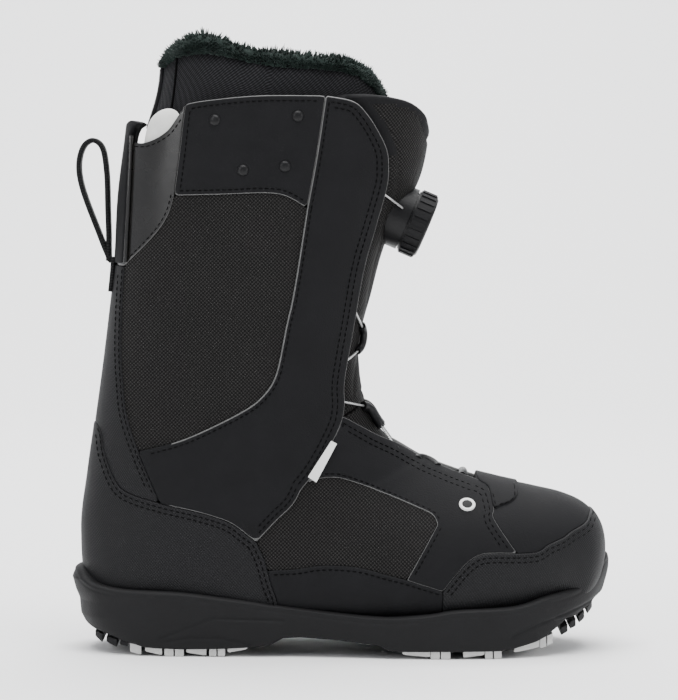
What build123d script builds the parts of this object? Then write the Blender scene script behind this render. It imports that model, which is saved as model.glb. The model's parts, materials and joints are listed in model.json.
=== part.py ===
"""Snowboard boot for the right foot, closed by a turning dial and a steel lace.

Millimetres. +X points to the toe, +Y to the inner side of the foot, +Z up. The origin is on the floor,
under the middle of the boot's box. The upper is a skin lofted through flat stations that fan from the
top of the shaft, round the heel, to the toe. Sewn panels are cut from that skin by their side outlines.
"""

from build123d import *
import math
import os

# ---------------------------------------------------------------- driving dimensions
SKIN = 3.0            # sewn upper, fabric with its foam backing
FAR = 200.0           # reach of a cutting prism
LACE_R = 0.65         # steel lace, nylon coated
TUNNEL_R = 1.0        # lace tunnel in a guide
TUBE_R = 1.6          # guide tube under a flap
SEWN_R = 1.4          # guide tube sewn into a quarter's edge
LINER_WALL = 8.0      # foam liner
TOE_IN = 6.0          # how far the toe turns to the inner side
POINTS = 20           # points round a station

# One station per row: front point x, z; back point x, z; half width; place of the widest point as a share
# of the way from back to front; squareness of the front and back ends (2 is an ellipse).
STATIONS = [
    (58.0, 352, -118.0, 352, 53.0, 0.50, 2.3, 2.2),
    (57.0, 326, -119.0, 320, 53.5, 0.50, 2.3, 2.2),
    (55.0, 300, -121.5, 294, 54.0, 0.50, 2.3, 2.2),
    (49.0, 268, -126.0, 258, 53.5, 0.50, 2.3, 2.2),
    (31.0, 235, -128.0, 222, 53.0, 0.50, 2.3, 2.2),
    (21.0, 201, -131.5, 192, 52.0, 0.50, 2.3, 2.2),
    (14.5, 168, -135.5, 160, 50.0, 0.50, 2.3, 2.2),
    (17.0, 144, -140.0, 128, 48.0, 0.50, 2.3, 2.2),
    (24.0, 130, -144.0, 100, 46.0, 0.50, 2.3, 2.3),
    (34.0, 119, -147.5, 68, 44.5, 0.50, 2.2, 2.4),
    (46.0, 111, -143.0, 32, 44.0, 0.45, 2.2, 2.6),
    (53.0, 108.2, -124.0, 23.5, 44.5, 0.43, 2.2, 2.8),
    (60.0, 105.5, -100.0, 20, 45.5, 0.42, 2.2, 3.0),
    (68.0, 103, -76.0, 19, 47.5, 0.41, 2.2, 3.2),
    (76.0, 100.5, -50.0, 18.5, 50.0, 0.40, 2.2, 3.4),
    (85.0, 98.2, -20.0, 17.8, 52.5, 0.39, 2.2, 3.4),
    (94.0, 96, 10.0, 17, 54.5, 0.38, 2.2, 3.4),
    (103.0, 94, 36.0, 16.5, 55.0, 0.38, 2.2, 3.4),
    (112.0, 92, 60.0, 16, 54.5, 0.38, 2.2, 3.4),
    (128.0, 88, 88.0, 17, 50.5, 0.42, 2.2, 3.0),
    (141.0, 81.5, 104.0, 19, 45.5, 0.45, 2.2, 2.8),
    (149.0, 71, 112.0, 21, 41.0, 0.47, 2.2, 2.6),
    (151.5, 57, 116.0, 22, 37.5, 0.50, 2.2, 2.6),
    (149.0, 42, 118.0, 23, 34.5, 0.50, 2.2, 2.6),
    (141.0, 31, 119.0, 24, 30.0, 0.50, 2.2, 2.6),
]
INNER_NOSE = 2.0      # squareness of the front of the tongue and the liner, rounder than the skin
# Gap from the skin's outer face to the liner at the front and back, row by row down the shaft.
LINER_FRONT = [33, 31, 27, 20, 12, 9.5, 9.5]
LINER_BACK = [18, 17, 12, 5.4, 5, 5, 5]
LINER_SIDE = 8.8
# Gap to the tongue's inner face at the front, row by row: its top is thick padding.
TONGUE_FRONT = [26, 25, 20, 14, 9, 8, 8]
TONGUE_TOP = 3.4      # the tongue's outer face below the skin's at the front
TONGUE_SIDE = 6.2     # and at the sides
TONGUE_BACK = 8.2     # the tongue's inner face at the sides
HINGE = (15.5, 141.0)            # the tongue folds about this line across its outer face, x and z
HINGE_IN = (-0.87, -0.50)        # direction from the fold into the boot


# ---------------------------------------------------------------- the fan of stations
def smooth(a, b, c, d, t):
    """Catmull-Rom value between b and c."""
    return 0.5 * (2 * b + (c - a) * t + (2 * a - 5 * b + 4 * c - d) * t * t + (3 * b - 3 * c + d - a) * t ** 3)


def row_at(rows, u):
    """The rows read at a fractional row number."""
    last = len(rows) - 1
    i = min(int(u), last - 1)
    four = [rows[max(0, min(last, i + k))] for k in (-1, 0, 1, 2)]
    return [smooth(*column, u - i) for column in zip(*four)]


def toe_shift(x):
    """Sideways place of the boot's middle line."""
    return TOE_IN * (max(0.0, x - 20.0) / 130.0) ** 2


def slant(points, i, dx, dz):
    """How much further a station's line runs through a layer than straight across it."""
    (ax, az), (bx, bz) = points[max(0, i - 1)], points[min(len(points) - 1, i + 1)]
    across = abs(dx * (bz - az) - dz * (bx - ax)) / math.hypot(bx - ax, bz - az)
    return min(2.4, 1 / across)


def inset_rows(front, back, side, nose=9.0):
    """The stations drawn in by a gap at the front, the back and both sides. A gap may be a list down the shaft."""
    made = []
    fronts, backs = [row[:2] for row in STATIONS], [row[2:4] for row in STATIONS]
    for i, (fx, fz, bx, bz, w, share, nf, nb) in enumerate(STATIONS):
        long = math.hypot(fx - bx, fz - bz)
        dx, dz = (fx - bx) / long, (fz - bz) / long
        gap_f = (front[min(i, len(front) - 1)] if isinstance(front, list) else front) * slant(fronts, i, dx, dz)
        gap_b = (back[min(i, len(back) - 1)] if isinstance(back, list) else back) * slant(backs, i, dx, dz)
        nf = min(nf, nose)
        made.append((fx - gap_f * dx, fz - gap_f * dz, bx + gap_b * dx, bz + gap_b * dz, w - side, share, nf, nb))
    return made


def station_wire(row):
    """One closed station curve."""
    fx, fz, bx, bz, w, share, nf, nb = row
    long = math.hypot(fx - bx, fz - bz)
    dx, dz = (fx - bx) / long, (fz - bz) / long
    cx, cz = bx + dx * long * share, bz + dz * long * share
    points = []
    for k in range(POINTS):
        v = 2 * math.pi * k / POINTS
        c, s = math.cos(v), math.sin(v)
        n = nf if c > 0 else nb
        reach = long * (1 - share) if c > 0 else long * share
        along = math.copysign(abs(c) ** (2 / n), c) * reach
        x = cx + dx * along
        y = math.copysign(abs(s) ** (2 / n), s) * w if abs(s) > 1e-9 else 0.0
        points.append((x, y + toe_shift(x), cz + dz * along))
    knots = [k / POINTS for k in range(POINTS + 1)]
    return Wire([Edge.make_spline([Vector(*p) for p in points], periodic=True, parameters=knots)])


def fan(rows, last=None):
    """A closed body through the stations, down to the last one asked for."""
    return Solid.make_loft([station_wire(row) for row in rows[:last]])


def surface_y(x, z, rows=STATIONS):
    """Half width of a fan where a side view shows the point x, z."""

    def side(u):
        fx, fz, bx, bz = row_at(rows, u)[:4]
        return (fx - bx) * (z - bz) - (fz - bz) * (x - bx)

    low, high = 0.0, float(len(rows) - 1)
    for _ in range(50):
        mid = (low + high) / 2
        low, high = (low, mid) if side(low) * side(mid) <= 0 else (mid, high)
    fx, fz, bx, bz, w, share, nf, nb = row_at(rows, low)
    long = math.hypot(fx - bx, fz - bz)
    along = ((x - bx) * (fx - bx) + (z - bz) * (fz - bz)) / long - share * long
    n, reach = (nf, long * (1 - share)) if along > 0 else (nb, long * share)
    return w * max(0.0, 1 - min(1.0, abs(along) / reach) ** n) ** (1 / n)


# ---------------------------------------------------------------- small helpers
def prism(points, low=-FAR, high=FAR):
    """A side outline pushed through the boot from y = low to y = high."""
    corners = [(x, 0, z) for i, (x, z) in enumerate(points) if (x, z) != points[i - 1]]
    face = make_face(Polyline(*corners, close=True))
    body = extrude(face, amount=high - low, dir=(0, 1, 0))
    return Pos(0, low, 0) * body


def solids_of(shape):
    """The real solids of a cut, without slivers."""
    return [s for s in shape.solids() if s.volume > 3.0]


def save(name, shape):
    """Writes one node."""
    kept = shape if isinstance(shape, list) else solids_of(shape)
    export_step(Compound(children=kept) if len(kept) > 1 else kept[0], f"parts/{name}.step")
    return kept


os.makedirs("parts", exist_ok=True)

# ---------------------------------------------------------------- side outlines, x and z
COUNTER_TOP = [(-160, 131), (-137, 129), (-132, 113), (-127, 100), (-120, 92), (-100.6, 86), (-78.6, 81),
               (-62, 75.5), (-51, 67.5)]
COUNTER_FRONT = [(-46.9, 64.3), (-42.3, 54.2), (-38.6, 41.3), (-34.5, 29)]
STAY_FRONT = [(-120.7, 218.7), (-122, 195), (-122.5, 173), (-121.5, 154), (-119.3, 135), (-112.7, 115),
              (-100.6, 86)]
GLOSS_EDGE = [(-120.7, 218.7), (-104, 235.3), (-95.7, 247.2), (-92.1, 258.5)]
BAND_BOTTOM = [(-92.1, 258.5), (-63.5, 259.2), (-41.8, 260), (-29.8, 258.2), (-18.5, 251.6)]
BAND_BACK = [(-92.1, 258.5), (-89.3, 279.5), (-87, 298.8), (-85.6, 309.4)]
FLAP_BACK = [(-18.5, 251.6), (-13.4, 279), (-8.1, 314)]
MESH_FRONT = [(-18.5, 251.6), (-25.9, 206), (-30.2, 186.4), (-34.6, 164.3), (-37.9, 154.4), (-43.4, 146.8),
              (-51.2, 140.3), (-67.6, 131.4), (-89.6, 121.5), (-112.7, 115)]
FLAP_FRONT = [(-8.1, 314), (7, 311), (14.5, 304.3), (21, 294.2), (25.6, 284), (26.5, 274.8), (25.6, 263.8),
              (19.1, 240.7), (12.6, 217.6), (6.6, 184), (1.6, 154.2), (1.6, 140.3), (-0.9, 128.4),
              (-12.3, 106.6), (-22.2, 93.5)]
FLAP_FOOT = [(-22.2, 93.5), (-26.7, 85.2), (-35.8, 76.3), (-46.9, 64.3)]
EYESTAY = [(-0.9, 128.4), (0.3, 134), (10.6, 128.4), (20.5, 122.5), (32.4, 116.5), (46.3, 108.6), (60.2, 102.6),
           (77.1, 96.5)]
VAMP_SEAM = [(77.1, 96.5), (83.2, 93), (86.4, 82), (86.4, 76.4), (98.8, 58.4)]
CAP_TOP = [(98.8, 58.4), (109.9, 58.9), (116.4, 62.6), (125, 66), (129.7, 69), (138.2, 73), (142.9, 79),
           (160, 92)]
CAP_BACK = [(57.3, 37.8), (65.6, 48), (73, 55.2), (81.3, 58.5), (98.8, 58.4)]
SIDE_MESH_TOP = [(-22.2, 93.5), (-16.3, 98.6), (-5.3, 100.2), (4.9, 98.2), (27.8, 89.3), (43.3, 83),
                 (51.7, 79.1), (54.7, 74.1)]
SIDE_MESH_FRONT = [(54.7, 74.1), (45.8, 58.6), (37.3, 44)]
RAND_TOP = [(-40.6, 48.5), (-25, 49.3), (-12.2, 51.4), (0.6, 51.6), (13.3, 50.2), (26.1, 46.8), (37.3, 44),
            (57.3, 37.8)]
BITE_LINE = [(-165, 50), (-152, 47), (-146, 42), (-140, 39), (-124, 36.8), (-91, 35.7), (-63.5, 32.5), (-35, 28.8),
             (0.6, 24.6), (26, 22.9), (50, 24.6), (65.6, 27), (98, 28.5), (116, 33), (135, 37), (147, 43),
             (152, 53), (165, 58)]
HIDDEN = 3.0          # how far the panels reach down inside the sole's cup
BOARD_LINE = [(x, z - HIDDEN) for x, z in BITE_LINE]


def below(line):
    """Outline of everything under a line that runs from heel to toe."""
    return line + [(170, -20), (-170, -20)]


# ---------------------------------------------------------------- the lofted bodies
outer = fan(STATIONS)
skin = outer - fan(inset_rows(SKIN, SKIN, SKIN), -1)
tongue_rows = inset_rows(TONGUE_TOP, TONGUE_TOP, TONGUE_SIDE, INNER_NOSE)
tongue_body = fan(tongue_rows, -2)
tongue_inner = fan(inset_rows(TONGUE_FRONT, TONGUE_BACK, TONGUE_BACK, INNER_NOSE), -3)
wall = [LINER_WALL * share for share in (0, 0.6, 1)]
liner_fans = [fan(inset_rows([gap + w for gap in LINER_FRONT], [gap + w for gap in LINER_BACK],
                             LINER_SIDE + w, INNER_NOSE), -3) for w in wall]

# ---------------------------------------------------------------- sewn panels
toe_cap = prism(CAP_BACK[::-1] + [(57.3, 10), (170, 10), (170, 92), (160, 92)] + CAP_TOP[:-1][::-1])
toe_box = prism([(77.1, 120), (170, 120), (170, 92), (160, 92)] + CAP_TOP[:-1][::-1] + VAMP_SEAM[::-1][1:])
counter = prism(COUNTER_TOP + COUNTER_FRONT + [(-34.5, 10), (-160, 10)])
stay = prism([(-160, 218.7)] + STAY_FRONT + COUNTER_TOP[:5][::-1])
TOP_LINE = [(-85.6, 309.4), (-91.2, 297.5), (-97, 297), (-107.5, 299.5), (-118, 290.5), (-160, 288)]
gloss = prism([(-160, 218.7)] + GLOSS_EDGE + BAND_BACK[1:] + TOP_LINE[1:])
board = prism(below(BOARD_LINE))

PAIRED = {
    "quarter": EYESTAY + VAMP_SEAM[1:] + CAP_BACK[::-1][1:] + SIDE_MESH_FRONT[::-1]
    + SIDE_MESH_TOP[::-1][1:] + [(-12.3, 106.6)],
    "side_mesh": SIDE_MESH_TOP + SIDE_MESH_FRONT[1:] + RAND_TOP[:-2][::-1] + COUNTER_FRONT[:2][::-1]
    + FLAP_FOOT[1:-1][::-1],
    "side_rand": RAND_TOP + [(57.3, 10), (-34.5, 10), (-34.5, 29), (-38.6, 41.3)],
    "shaft_mesh": GLOSS_EDGE + BAND_BOTTOM[1:] + MESH_FRONT[1:] + STAY_FRONT[1:-1][::-1],
    "collar_band": BAND_BACK + [(-72.8, 311.5), (-44.5, 314)] + FLAP_BACK[::-1] + BAND_BOTTOM[1:-1][::-1],
    "cuff_flap": FLAP_FRONT + FLAP_FOOT[1:] + COUNTER_TOP[5:][::-1] + MESH_FRONT[::-1] + FLAP_BACK[1:-1],
}

upper = skin - board
save("lasting_board", skin & board)
save("toe_cap", upper & toe_cap)
save("toe_box", upper & toe_box)
save("heel_counter", upper & counter)
save("back_stay", upper & stay)
save("rear_panel", upper & gloss)
halves = {"lateral": Pos(0, -FAR / 2, 0) * Box(500, FAR, 900), "medial": Pos(0, FAR / 2, 0) * Box(500, FAR, 900)}
panels = {}
for name, points in PAIRED.items():
    both = upper & prism(points)
    for side, half in halves.items():
        panels[f"{name}_{side}"] = save(f"{name}_{side}", both & half)

# ---------------------------------------------------------------- sole
SOLE_SIDE = [(-151, 47.5), (-152.8, 41), (-150.6, 34), (-148.5, 29), (-148, 20.5), (-144.8, 13.5), (-139, 9.5),
             (-131.2, 9.8), (-130, 6.2), (-123.4, 5.6), (-121.2, 8.3), (-116.5, 5.5), (-48, 5.5), (-39.5, 6.6),
             (-32.2, 10.7), (-22.2, 11.3), (0, 9.8), (21, 7.4), (26.7, 5.5), (90, 6.2), (103, 8.6), (116.2, 12.6),
             (120, 16.3), (121.8, 12.6), (125, 13.2), (126.8, 17.2), (129, 15.6), (132.3, 20.4), (137.3, 23.5),
             (145.9, 21.8), (149.3, 27.5), (153.3, 45.2), (153.9, 51), (151.9, 58.3), (150.6, 52)]
SOLE_PLAN = [(-153, 0), (-149, -19), (-137, -34), (-112, -43.5), (-75, -47), (-35, -48), (0, -52), (42, -57.5),
             (80, -57), (106, -51), (128, -40.5), (143, -25), (152, -7), (154, 7), (151, 21), (139, 37.5),
             (118, 50), (90, 58), (50, 58.5), (0, 51), (-35, 48), (-75, 47), (-112, 43.5), (-137, 34), (-149, 19)]
TREAD = {
    "heel": [(-134, -119), (-115, -96), (-92.5, -78), (-74.5, -50)],
    "forefoot": [(30, 43), (46.5, 60), (67, 77), (80.5, 88), (94.5, 106), (109, 117)],
}
TREAD_FLOOR = [(-160, 5), (-134, 3.5), (-122, 0), (86, 0), (100, 2.6), (117, 7.6), (125, 12)]
SHANK = (-75.0, 20.0, 26.0, 1.4)       # from x, to x, width, thickness
SHANK_Z = 13.6


def plan_block(inset, low, high):
    """The sole's plan drawn in by an inset, between two heights."""
    points = []
    for i, (x, y) in enumerate(SOLE_PLAN):
        (ax, ay), (bx, by) = SOLE_PLAN[i - 1], SOLE_PLAN[(i + 1) % len(SOLE_PLAN)]
        long = math.hypot(bx - ax, by - ay)
        points.append(Vector(x - inset * (by - ay) / long, y + inset * (bx - ax) / long, 0))
    face = make_face(Wire([Edge.make_spline(points, periodic=True)]))
    return Pos(0, 0, low) * extrude(face, amount=high - low, dir=(0, 0, 1))


sole = (plan_block(0, 0, 70) & prism(SOLE_SIDE + BITE_LINE[2:-2][::-1])) - outer
core = plan_block(6, 0, 30) & prism([(-138, 14), (-116, 9.5), (-48, 9.5), (-32, 13.2), (0, 12.4), (27, 9.5),
                                     (88, 10), (116, 18), (122, 30), (-138, 40)])
x0, x1, wide, thick = SHANK
shank = Pos((x0 + x1) / 2, 0, SHANK_Z + thick / 2) * Box(x1 - x0, wide, thick)
shank = fillet(shank.edges().filter_by(Axis.Z), 9)
save("outsole", sole - core - shank)
save("midsole", (sole & core) - shank)
save("shank", shank)

floor_band = prism(TREAD_FLOOR + [(125, 20), (117, 13), (103, 8.7), (90, 6.3), (26.7, 5.6), (-116, 5.6),
                                  (-130, 6.3), (-160, 9)])
for name, pads in TREAD.items():
    made = []
    for a, b in pads:
        block = plan_block(2.5, 0, 24) & floor_band & prism([(a, -5), (b, -5), (b, 30), (a, 30)])
        block = block - sole
        block = block - Pos((a + b) / 2, 0, 0) * Box(60, 3, 40)
        made += solids_of(block)
    save(f"{name}_tread", made)

# ---------------------------------------------------------------- liner and what is inside the boot
FUR_LOW = [(-99.2, 331), (-91.8, 336), (-78, 338.5), (-65, 336.5), (-45.6, 332), (-38.2, 330.5), (-0.3, 328.5),
           (9.1, 326), (17.7, 319.5), (23.4, 312)]
FUR_TOP = [(-120, 337), (-100.5, 337.6), (-90, 345), (-81.2, 349.5), (-69, 348.6), (-57, 342.1), (-28.5, 338.2),
           (1.7, 335.9), (10.8, 332.5), (18.8, 326.8), (24, 319.5), (28, 311), (60, 300)]
wall_outer, wall_middle, wall_inner = liner_fans
under_fur = prism([(-170, 331)] + FUR_LOW + [(60, 300), (170, 300), (170, -20), (-170, -20)])
under_top = prism([(-170, 337)] + FUR_TOP + [(170, 300), (170, -20), (-170, -20)])
above_lining = prism([(-170, 262), (60, 262), (60, 400), (-170, 400)])
save("liner_shell", (wall_outer - wall_middle) & under_fur)
fur = ((wall_outer & under_top) - under_fur - wall_inner) + ((wall_middle - wall_inner) & under_fur & above_lining)
save("liner_fur_collar", fur)
save("liner_lining", ((wall_middle - wall_inner) & under_fur) - above_lining)
bed = fan(inset_rows([gap + 9 for gap in LINER_FRONT], [gap + 9 for gap in LINER_BACK], LINER_SIDE + 9,
                     INNER_NOSE), -4)
save("footbed", bed & prism([(-125, 0), (-125, 47), (-95, 38), (-50, 34), (10, 31), (60, 31), (100, 36), (125, 45),
                             (125, 0)]))
strip = fan(inset_rows(LINER_FRONT, [gap - 1.4 for gap in LINER_BACK], LINER_SIDE, INNER_NOSE), 8) - wall_outer
save("liner_back_strip", strip & Pos(-100, 0, 312) * Box(60, 22, 34))

heel = prism([(-160, 118), (-128, 118), (-100, 96), (-62, 70), (-55, 44), (-160, 44)])
stiffener = (fan(inset_rows(3.8, 3.8, 3.8), -2) & heel) - fan(inset_rows(4.7, 4.7, 5.2), -3)
save("heel_stiffener", stiffener)
ear = prism([(-110, 272), (-110, 287), (-108, 297), (-103, 304), (-97, 306), (-91.5, 302.5), (-88.5, 292),
             (-88.5, 272)])
pad = (fan(inset_rows(3.4, 3.4, 3.4), 6) & ear) - fan(inset_rows(6.4, 6.4, 6.6), 6)
for side, half in halves.items():
    save(f"cuff_pad_{side}", pad & half)

# ---------------------------------------------------------------- tongue
EDGE_GAP = 0.6        # between the tongue and the flap edges, seen from the side
hx, hz = HINGE
ix, iz = HINGE_IN
TONGUE_TOP_LINE = [(52.6, 297.7), (49.6, 304.6), (43, 311.2), (33.6, 314), (20, 315.5), (8, 315.5)]
edge = [(x + EDGE_GAP, z) for x, z in FLAP_FRONT[1:12]]
tongue_cut = prism(edge + [(3.9, hz + iz / ix * (3.9 - hx)), (hx, hz), (hx - 30 * ix, hz - 30 * iz), (90, 230),
                           (90, 290)] + TONGUE_TOP_LINE)
tongue = (tongue_body & tongue_cut) - tongue_inner
save("tongue", tongue)

drop = 0.3            # half the gap along the fold
low_cut = [(hx + 30 * -ix + drop, hz + 30 * -iz - 2 * drop), (-14, hz + iz / ix * (-14 - hx) - 2 * drop)]
base = prism(low_cut + [(-14, 112), (5, 111), (30, 99), (77, 84), (79.5, 92), (90, 110), (70, 140)])
save("tongue_base", (tongue_body & base) - tongue_inner)
under = prism(FLAP_FRONT[2:12] + [(0.5, hz + iz / ix * (0.5 - hx) + 0.1), (-14, hz + iz / ix * (-14 - hx) + 0.1),
                                  (-14, 150), (-10, 185), (-4, 218), (2, 240), (8, 264), (9, 275), (7, 290), (0, 304)])
gussets = (tongue_body & under) - tongue_inner
for side, half in halves.items():
    save(f"gusset_{side}", gussets & half)

# ---------------------------------------------------------------- dial on the tongue
# The dial's own frame stands on the tongue: +Z along the dial's axis, +X to the inner side, +Y up the tongue.
DIAL_AT = (34.0, 0.0, 246.5)
DIAL_AXIS = (0.92, 0.0, -0.392)
PULL = 3.0            # travel that frees the lace
POST_R = 3.0
dial = Plane(origin=DIAL_AT, x_dir=(0, 1, 0), z_dir=DIAL_AXIS)


def ring(r_out, r_in, low, high):
    """A ring about the dial's axis."""
    flat = (Align.CENTER, Align.CENTER, Align.MIN)
    body = Pos(0, 0, low) * Cylinder(r_out, high - low, align=flat)
    if r_in:
        body = body - Pos(0, 0, low - 1) * Cylinder(r_in, high - low + 2, align=flat)
    return body


def with_teeth(body, count, r_in, r_out, width, low, high):
    """A ring with small blocks set round it."""
    block = Pos((r_in + r_out) / 2, 0, (low + high) / 2) * Box(r_out - r_in, width, high - low)
    return body + [Rot(0, 0, 360 * k / count) * block for k in range(count)]


cup = ring(18.2, 0, -14, 5.0) - ring(11.4, 0, 0.6, 9)
ratchet = with_teeth(ring(16.4, 13.8, 5.0, 7.6), 30, 13.0, 14.0, 1.2, 5.0, 7.6)
post = ring(POST_R, 0, 0.6, 14.0) + ring(4.6, 0, 14.0, 15.0)
post = post - Pos(0, 0, 15) * Box(5, 1.0, 1.4) - Pos(0, 0, 15) * Box(1.0, 5, 1.4)
spool = ring(11.0, 3.4, 1.0, 1.8) + ring(9.0, 3.4, 1.8, 4.4) + ring(11.0, 3.4, 4.4, 5.2)
sleeve = ring(4.5, POST_R + 0.06, 6.4, 10.6) + ring(6.2, POST_R + 0.06, 6.4, 7.2)
knob = ring(17.6, 16.9, 5.6, 8.6) + ring(17.6, 7.0, 8.6, 9.7) + ring(17.6, 16.0, 9.7, 15.3) + ring(17.6, 0, 15.3, 17)
knob = knob + ring(7.0, 4.85, 7.6, 9.7)
knob = chamfer(knob.edges().filter_by(GeomType.CIRCLE).sort_by(Axis.Z)[-1], 0.8)
pawls = with_teeth(ring(11.6, 7.4, 6.0, 8.6), 3, 11.0, 12.6, 2.6, 6.0, 7.4)
grip = with_teeth(ring(18.5, 17.6, 6.4, 16.0), 24, 18.2, 19.2, 2.2, 7.0, 15.4)

# ---------------------------------------------------------------- steel lace and its guides
def lifted(h):
    """The tongue's outer face raised by h."""
    return inset_rows(TONGUE_TOP - h, TONGUE_TOP - h, TONGUE_SIDE - h, INNER_NOSE)


def beside(x, z, h, side):
    """The point a height h over the tongue where a side view shows x, z."""
    return Vector(x, toe_shift(x) + side * surface_y(x, z, lifted(h)), z)


def in_front(u, y, h, side):
    """The point a height h over the front of the tongue on station u, y off the middle."""
    fx, fz, bx, bz, w, share, nf, nb = row_at(lifted(h), u)
    along = share + (1 - share) * (1 - (y / w) ** nf) ** (1 / nf)
    x = bx + (fx - bx) * along
    return Vector(x, toe_shift(x) + side * y, bz + (fz - bz) * along)


def in_quarter(x, z, side):
    """The point in the middle of the upper's thickness where a side view shows x, z."""
    return Vector(x, toe_shift(x) + side * surface_y(x, z, inset_rows(1.5, 1.5, 1.5)), z)


def over(a, b, side):
    """Where a run between two points lies over the tongue's padding."""
    m = (a + b) / 2
    return beside(m.X, m.Z, 1.6, side)


def strand(side):
    """Corners of the lace on one side, from the dial's cup to the toe end, guide by guide."""
    port = dial.from_local_coords(Vector(side * 12.4, 4.0, 3.2))
    flap_high = [beside(x, z, 1.9, side) for x, z in [(19, 263.5), (12.5, 254), (7.5, 234), (4, 213), (5.5, 200)]]
    tongue_loop = [in_front(u, 7.5, 2.1, side) for u in (5.6, 5.86)]
    flap_low = [beside(x, z, 1.9, side) for x, z in [(-1, 161.5), (-3, 152), (-1.2, 142.8)]]
    instep_loop = [in_front(u, 8, 2.6, side) for u in (7.35, 7.95)]
    quarter_high = [in_quarter(x, z, side) for x, z in [(36, 109.5), (42.5, 106.5)]]
    ankle_loop = [in_front(u, 7, 2.8, side) for u in (10.15, 11.25)]
    quarter_low = [in_quarter(x, z, side) for x, z in [(61, 97.6), (67, 95.6)]]
    groups = [[port], flap_high, tongue_loop, flap_low, instep_loop, quarter_high, ankle_loop, quarter_low,
              [in_front(13.6, 7.5, 2.3, side)]]
    for k in (0, 1, 2, 3):
        groups[k].append(over(groups[k][-1], groups[k + 1][0], side))
    return groups


def corner_radius(a, b, c):
    """Largest bend that both runs at a corner leave room for."""
    turn = math.radians((b - a).get_angle(c - b))
    return min(14.0, 0.45 * min((b - a).length, (c - b).length) / math.tan(turn / 2))


def rod(points, radii, r_out, r_in=0.0):
    """A round rod or tube along straight runs joined by tangent arcs."""
    path = FilletPolyline(*points, radius=radii)
    profile = Circle(r_out) - Circle(r_in) if r_in else Circle(r_out)
    return sweep(Plane(origin=path @ 0, z_dir=path % 0) * profile, path=path)


def bend_share(i):
    """How much of each run at a corner its bend takes."""
    if i in (0, len(route) - 1):
        return 0.0
    turn = math.radians((route[i] - route[i - 1]).get_angle(route[i + 1] - route[i]))
    return radii[i - 1] * math.tan(turn / 2)


def sleeve_on_lace(first, last, reach, r_out, r_in=0.0):
    """A rod or tube round the lace from corner first to corner last, and a reach past each bend if there is room."""
    ends = []
    for i, other in ((first, first - 1), (last, last + 1)):
        way = route[other] - route[i]
        room = way.length - bend_share(i) - bend_share(other)
        ends.append(route[i] + way.normalized() * (bend_share(i) + min(reach, 0.44 * room)))
    return rod([ends[0]] + route[first:last + 1] + [ends[1]], radii[first - 1:last], r_out, r_in)


lateral, medial = strand(-1), strand(1)
route = sum(lateral, []) + [p for group in medial[::-1] for p in group[::-1]]
radii = [corner_radius(*route[i - 1:i + 2]) for i in range(1, len(route) - 1)]
lace = rod(route, radii, LACE_R)
run = sum((b - a).length for a, b in zip(route, route[1:]))
print("lace volume", round(lace.volume), "section by length", round(math.pi * LACE_R ** 2 * run))
print("lace length", round(run), "bend radii", [round(r, 1) for r in radii])
save("steel_lace", lace)

GUIDES = {
    "flap_guides_upper": (1, 2.0, TUBE_R), "tongue_guide": (2, 2.0, 2.1), "flap_guides_lower": (3, 2.0, TUBE_R),
    "instep_guide": (4, 2.0, 2.6), "quarter_guides_upper": (5, 9.0, SEWN_R), "ankle_guide": (6, 2.0, 2.8),
    "quarter_guides_lower": (7, 9.0, SEWN_R),
}
counts = [len(group) for group in lateral]
flap_side = prism([(-200, -50), (-200, 400)] + FLAP_FRONT[1:] + [(-22.2, -50)])
quarter_side = prism(PAIRED["quarter"])
eyestay = skin & quarter_side
for name, (k, reach, r_out) in GUIDES.items():
    first = sum(counts[:k])
    last = first + counts[k] - 1 - (k in (1, 2, 3))
    made = []
    for side, (a, b) in {"lateral": (first, last), "medial": (len(route) - 1 - last, len(route) - 1 - first)}.items():
        tube = sleeve_on_lace(a, b, reach, r_out, TUNNEL_R)
        if k in (5, 7):
            tube = tube & quarter_side
            panels[f"quarter_{side}"][0] -= sleeve_on_lace(a, b, reach, r_out)
        else:
            tube = tube - tongue_body
        if k in (1, 3):
            tube = tube & flap_side
        if k in (4, 6):
            tube = tube - eyestay
        made += solids_of(tube)
    save(name, made)
middle = len(route) // 2
start = sum(counts[:5])
for side, (a, b) in {"lateral": (start, middle - 1), "medial": (middle, len(route) - 1 - start)}.items():
    save(f"quarter_{side}", panels[f"quarter_{side}"][0] - sleeve_on_lace(a, b, 9.0, TUNNEL_R))
save("toe_guide", (sleeve_on_lace(middle - 1, middle, 2.0, 2.6, TUNNEL_R) - tongue_body) - eyestay)

for groups in (lateral, medial):
    a, b = groups[0]
    way = (b - a).normalized()
    tunnel = Solid.make_cylinder(TUNNEL_R, 24, Plane(origin=a - way * 3, z_dir=way))
    cup = cup - dial.location.inverse() * tunnel
dial_base = (dial.location * cup) - tongue_body
save("dial_base", dial_base)
for name, body in {"dial_ratchet_ring": ratchet, "dial_post": post, "dial_spool": spool,
                   "wound_lace": ring(10.4, 9.0, 1.8, 4.4), "dial_sleeve": sleeve,
                   "dial_sleeve_clip": ring(6.0, 4.5, 10.0, 10.6), "dial_knob": knob, "dial_pawl_ring": pawls,
                   "dial_grip": grip}.items():
    save(name, dial.location * body)

# ---------------------------------------------------------------- pull loop, rivets and labels
LOOP = [(-131.5, 220), (-140, 240), (-148, 262), (-150, 276), (-147, 287), (-140.5, 291), (-134, 286), (-131.4, 271),
        (-130.8, 250), (-130.4, 232)]
WEB = 1.8             # webbing thickness
face = make_face(Wire([Edge.make_spline([Vector(x, 0, z) for x, z in LOOP], periodic=True)]))


def drawn_in(x, z):
    """A loop corner moved towards the loop's middle line by the webbing's thickness."""
    i = LOOP.index((x, z))
    (ax, az), (bx, bz) = LOOP[i - 1], LOOP[(i + 1) % len(LOOP)]
    long = math.hypot(bx - ax, bz - az)
    return x + WEB * (bz - az) / long, z - WEB * (bx - ax) / long


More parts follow.
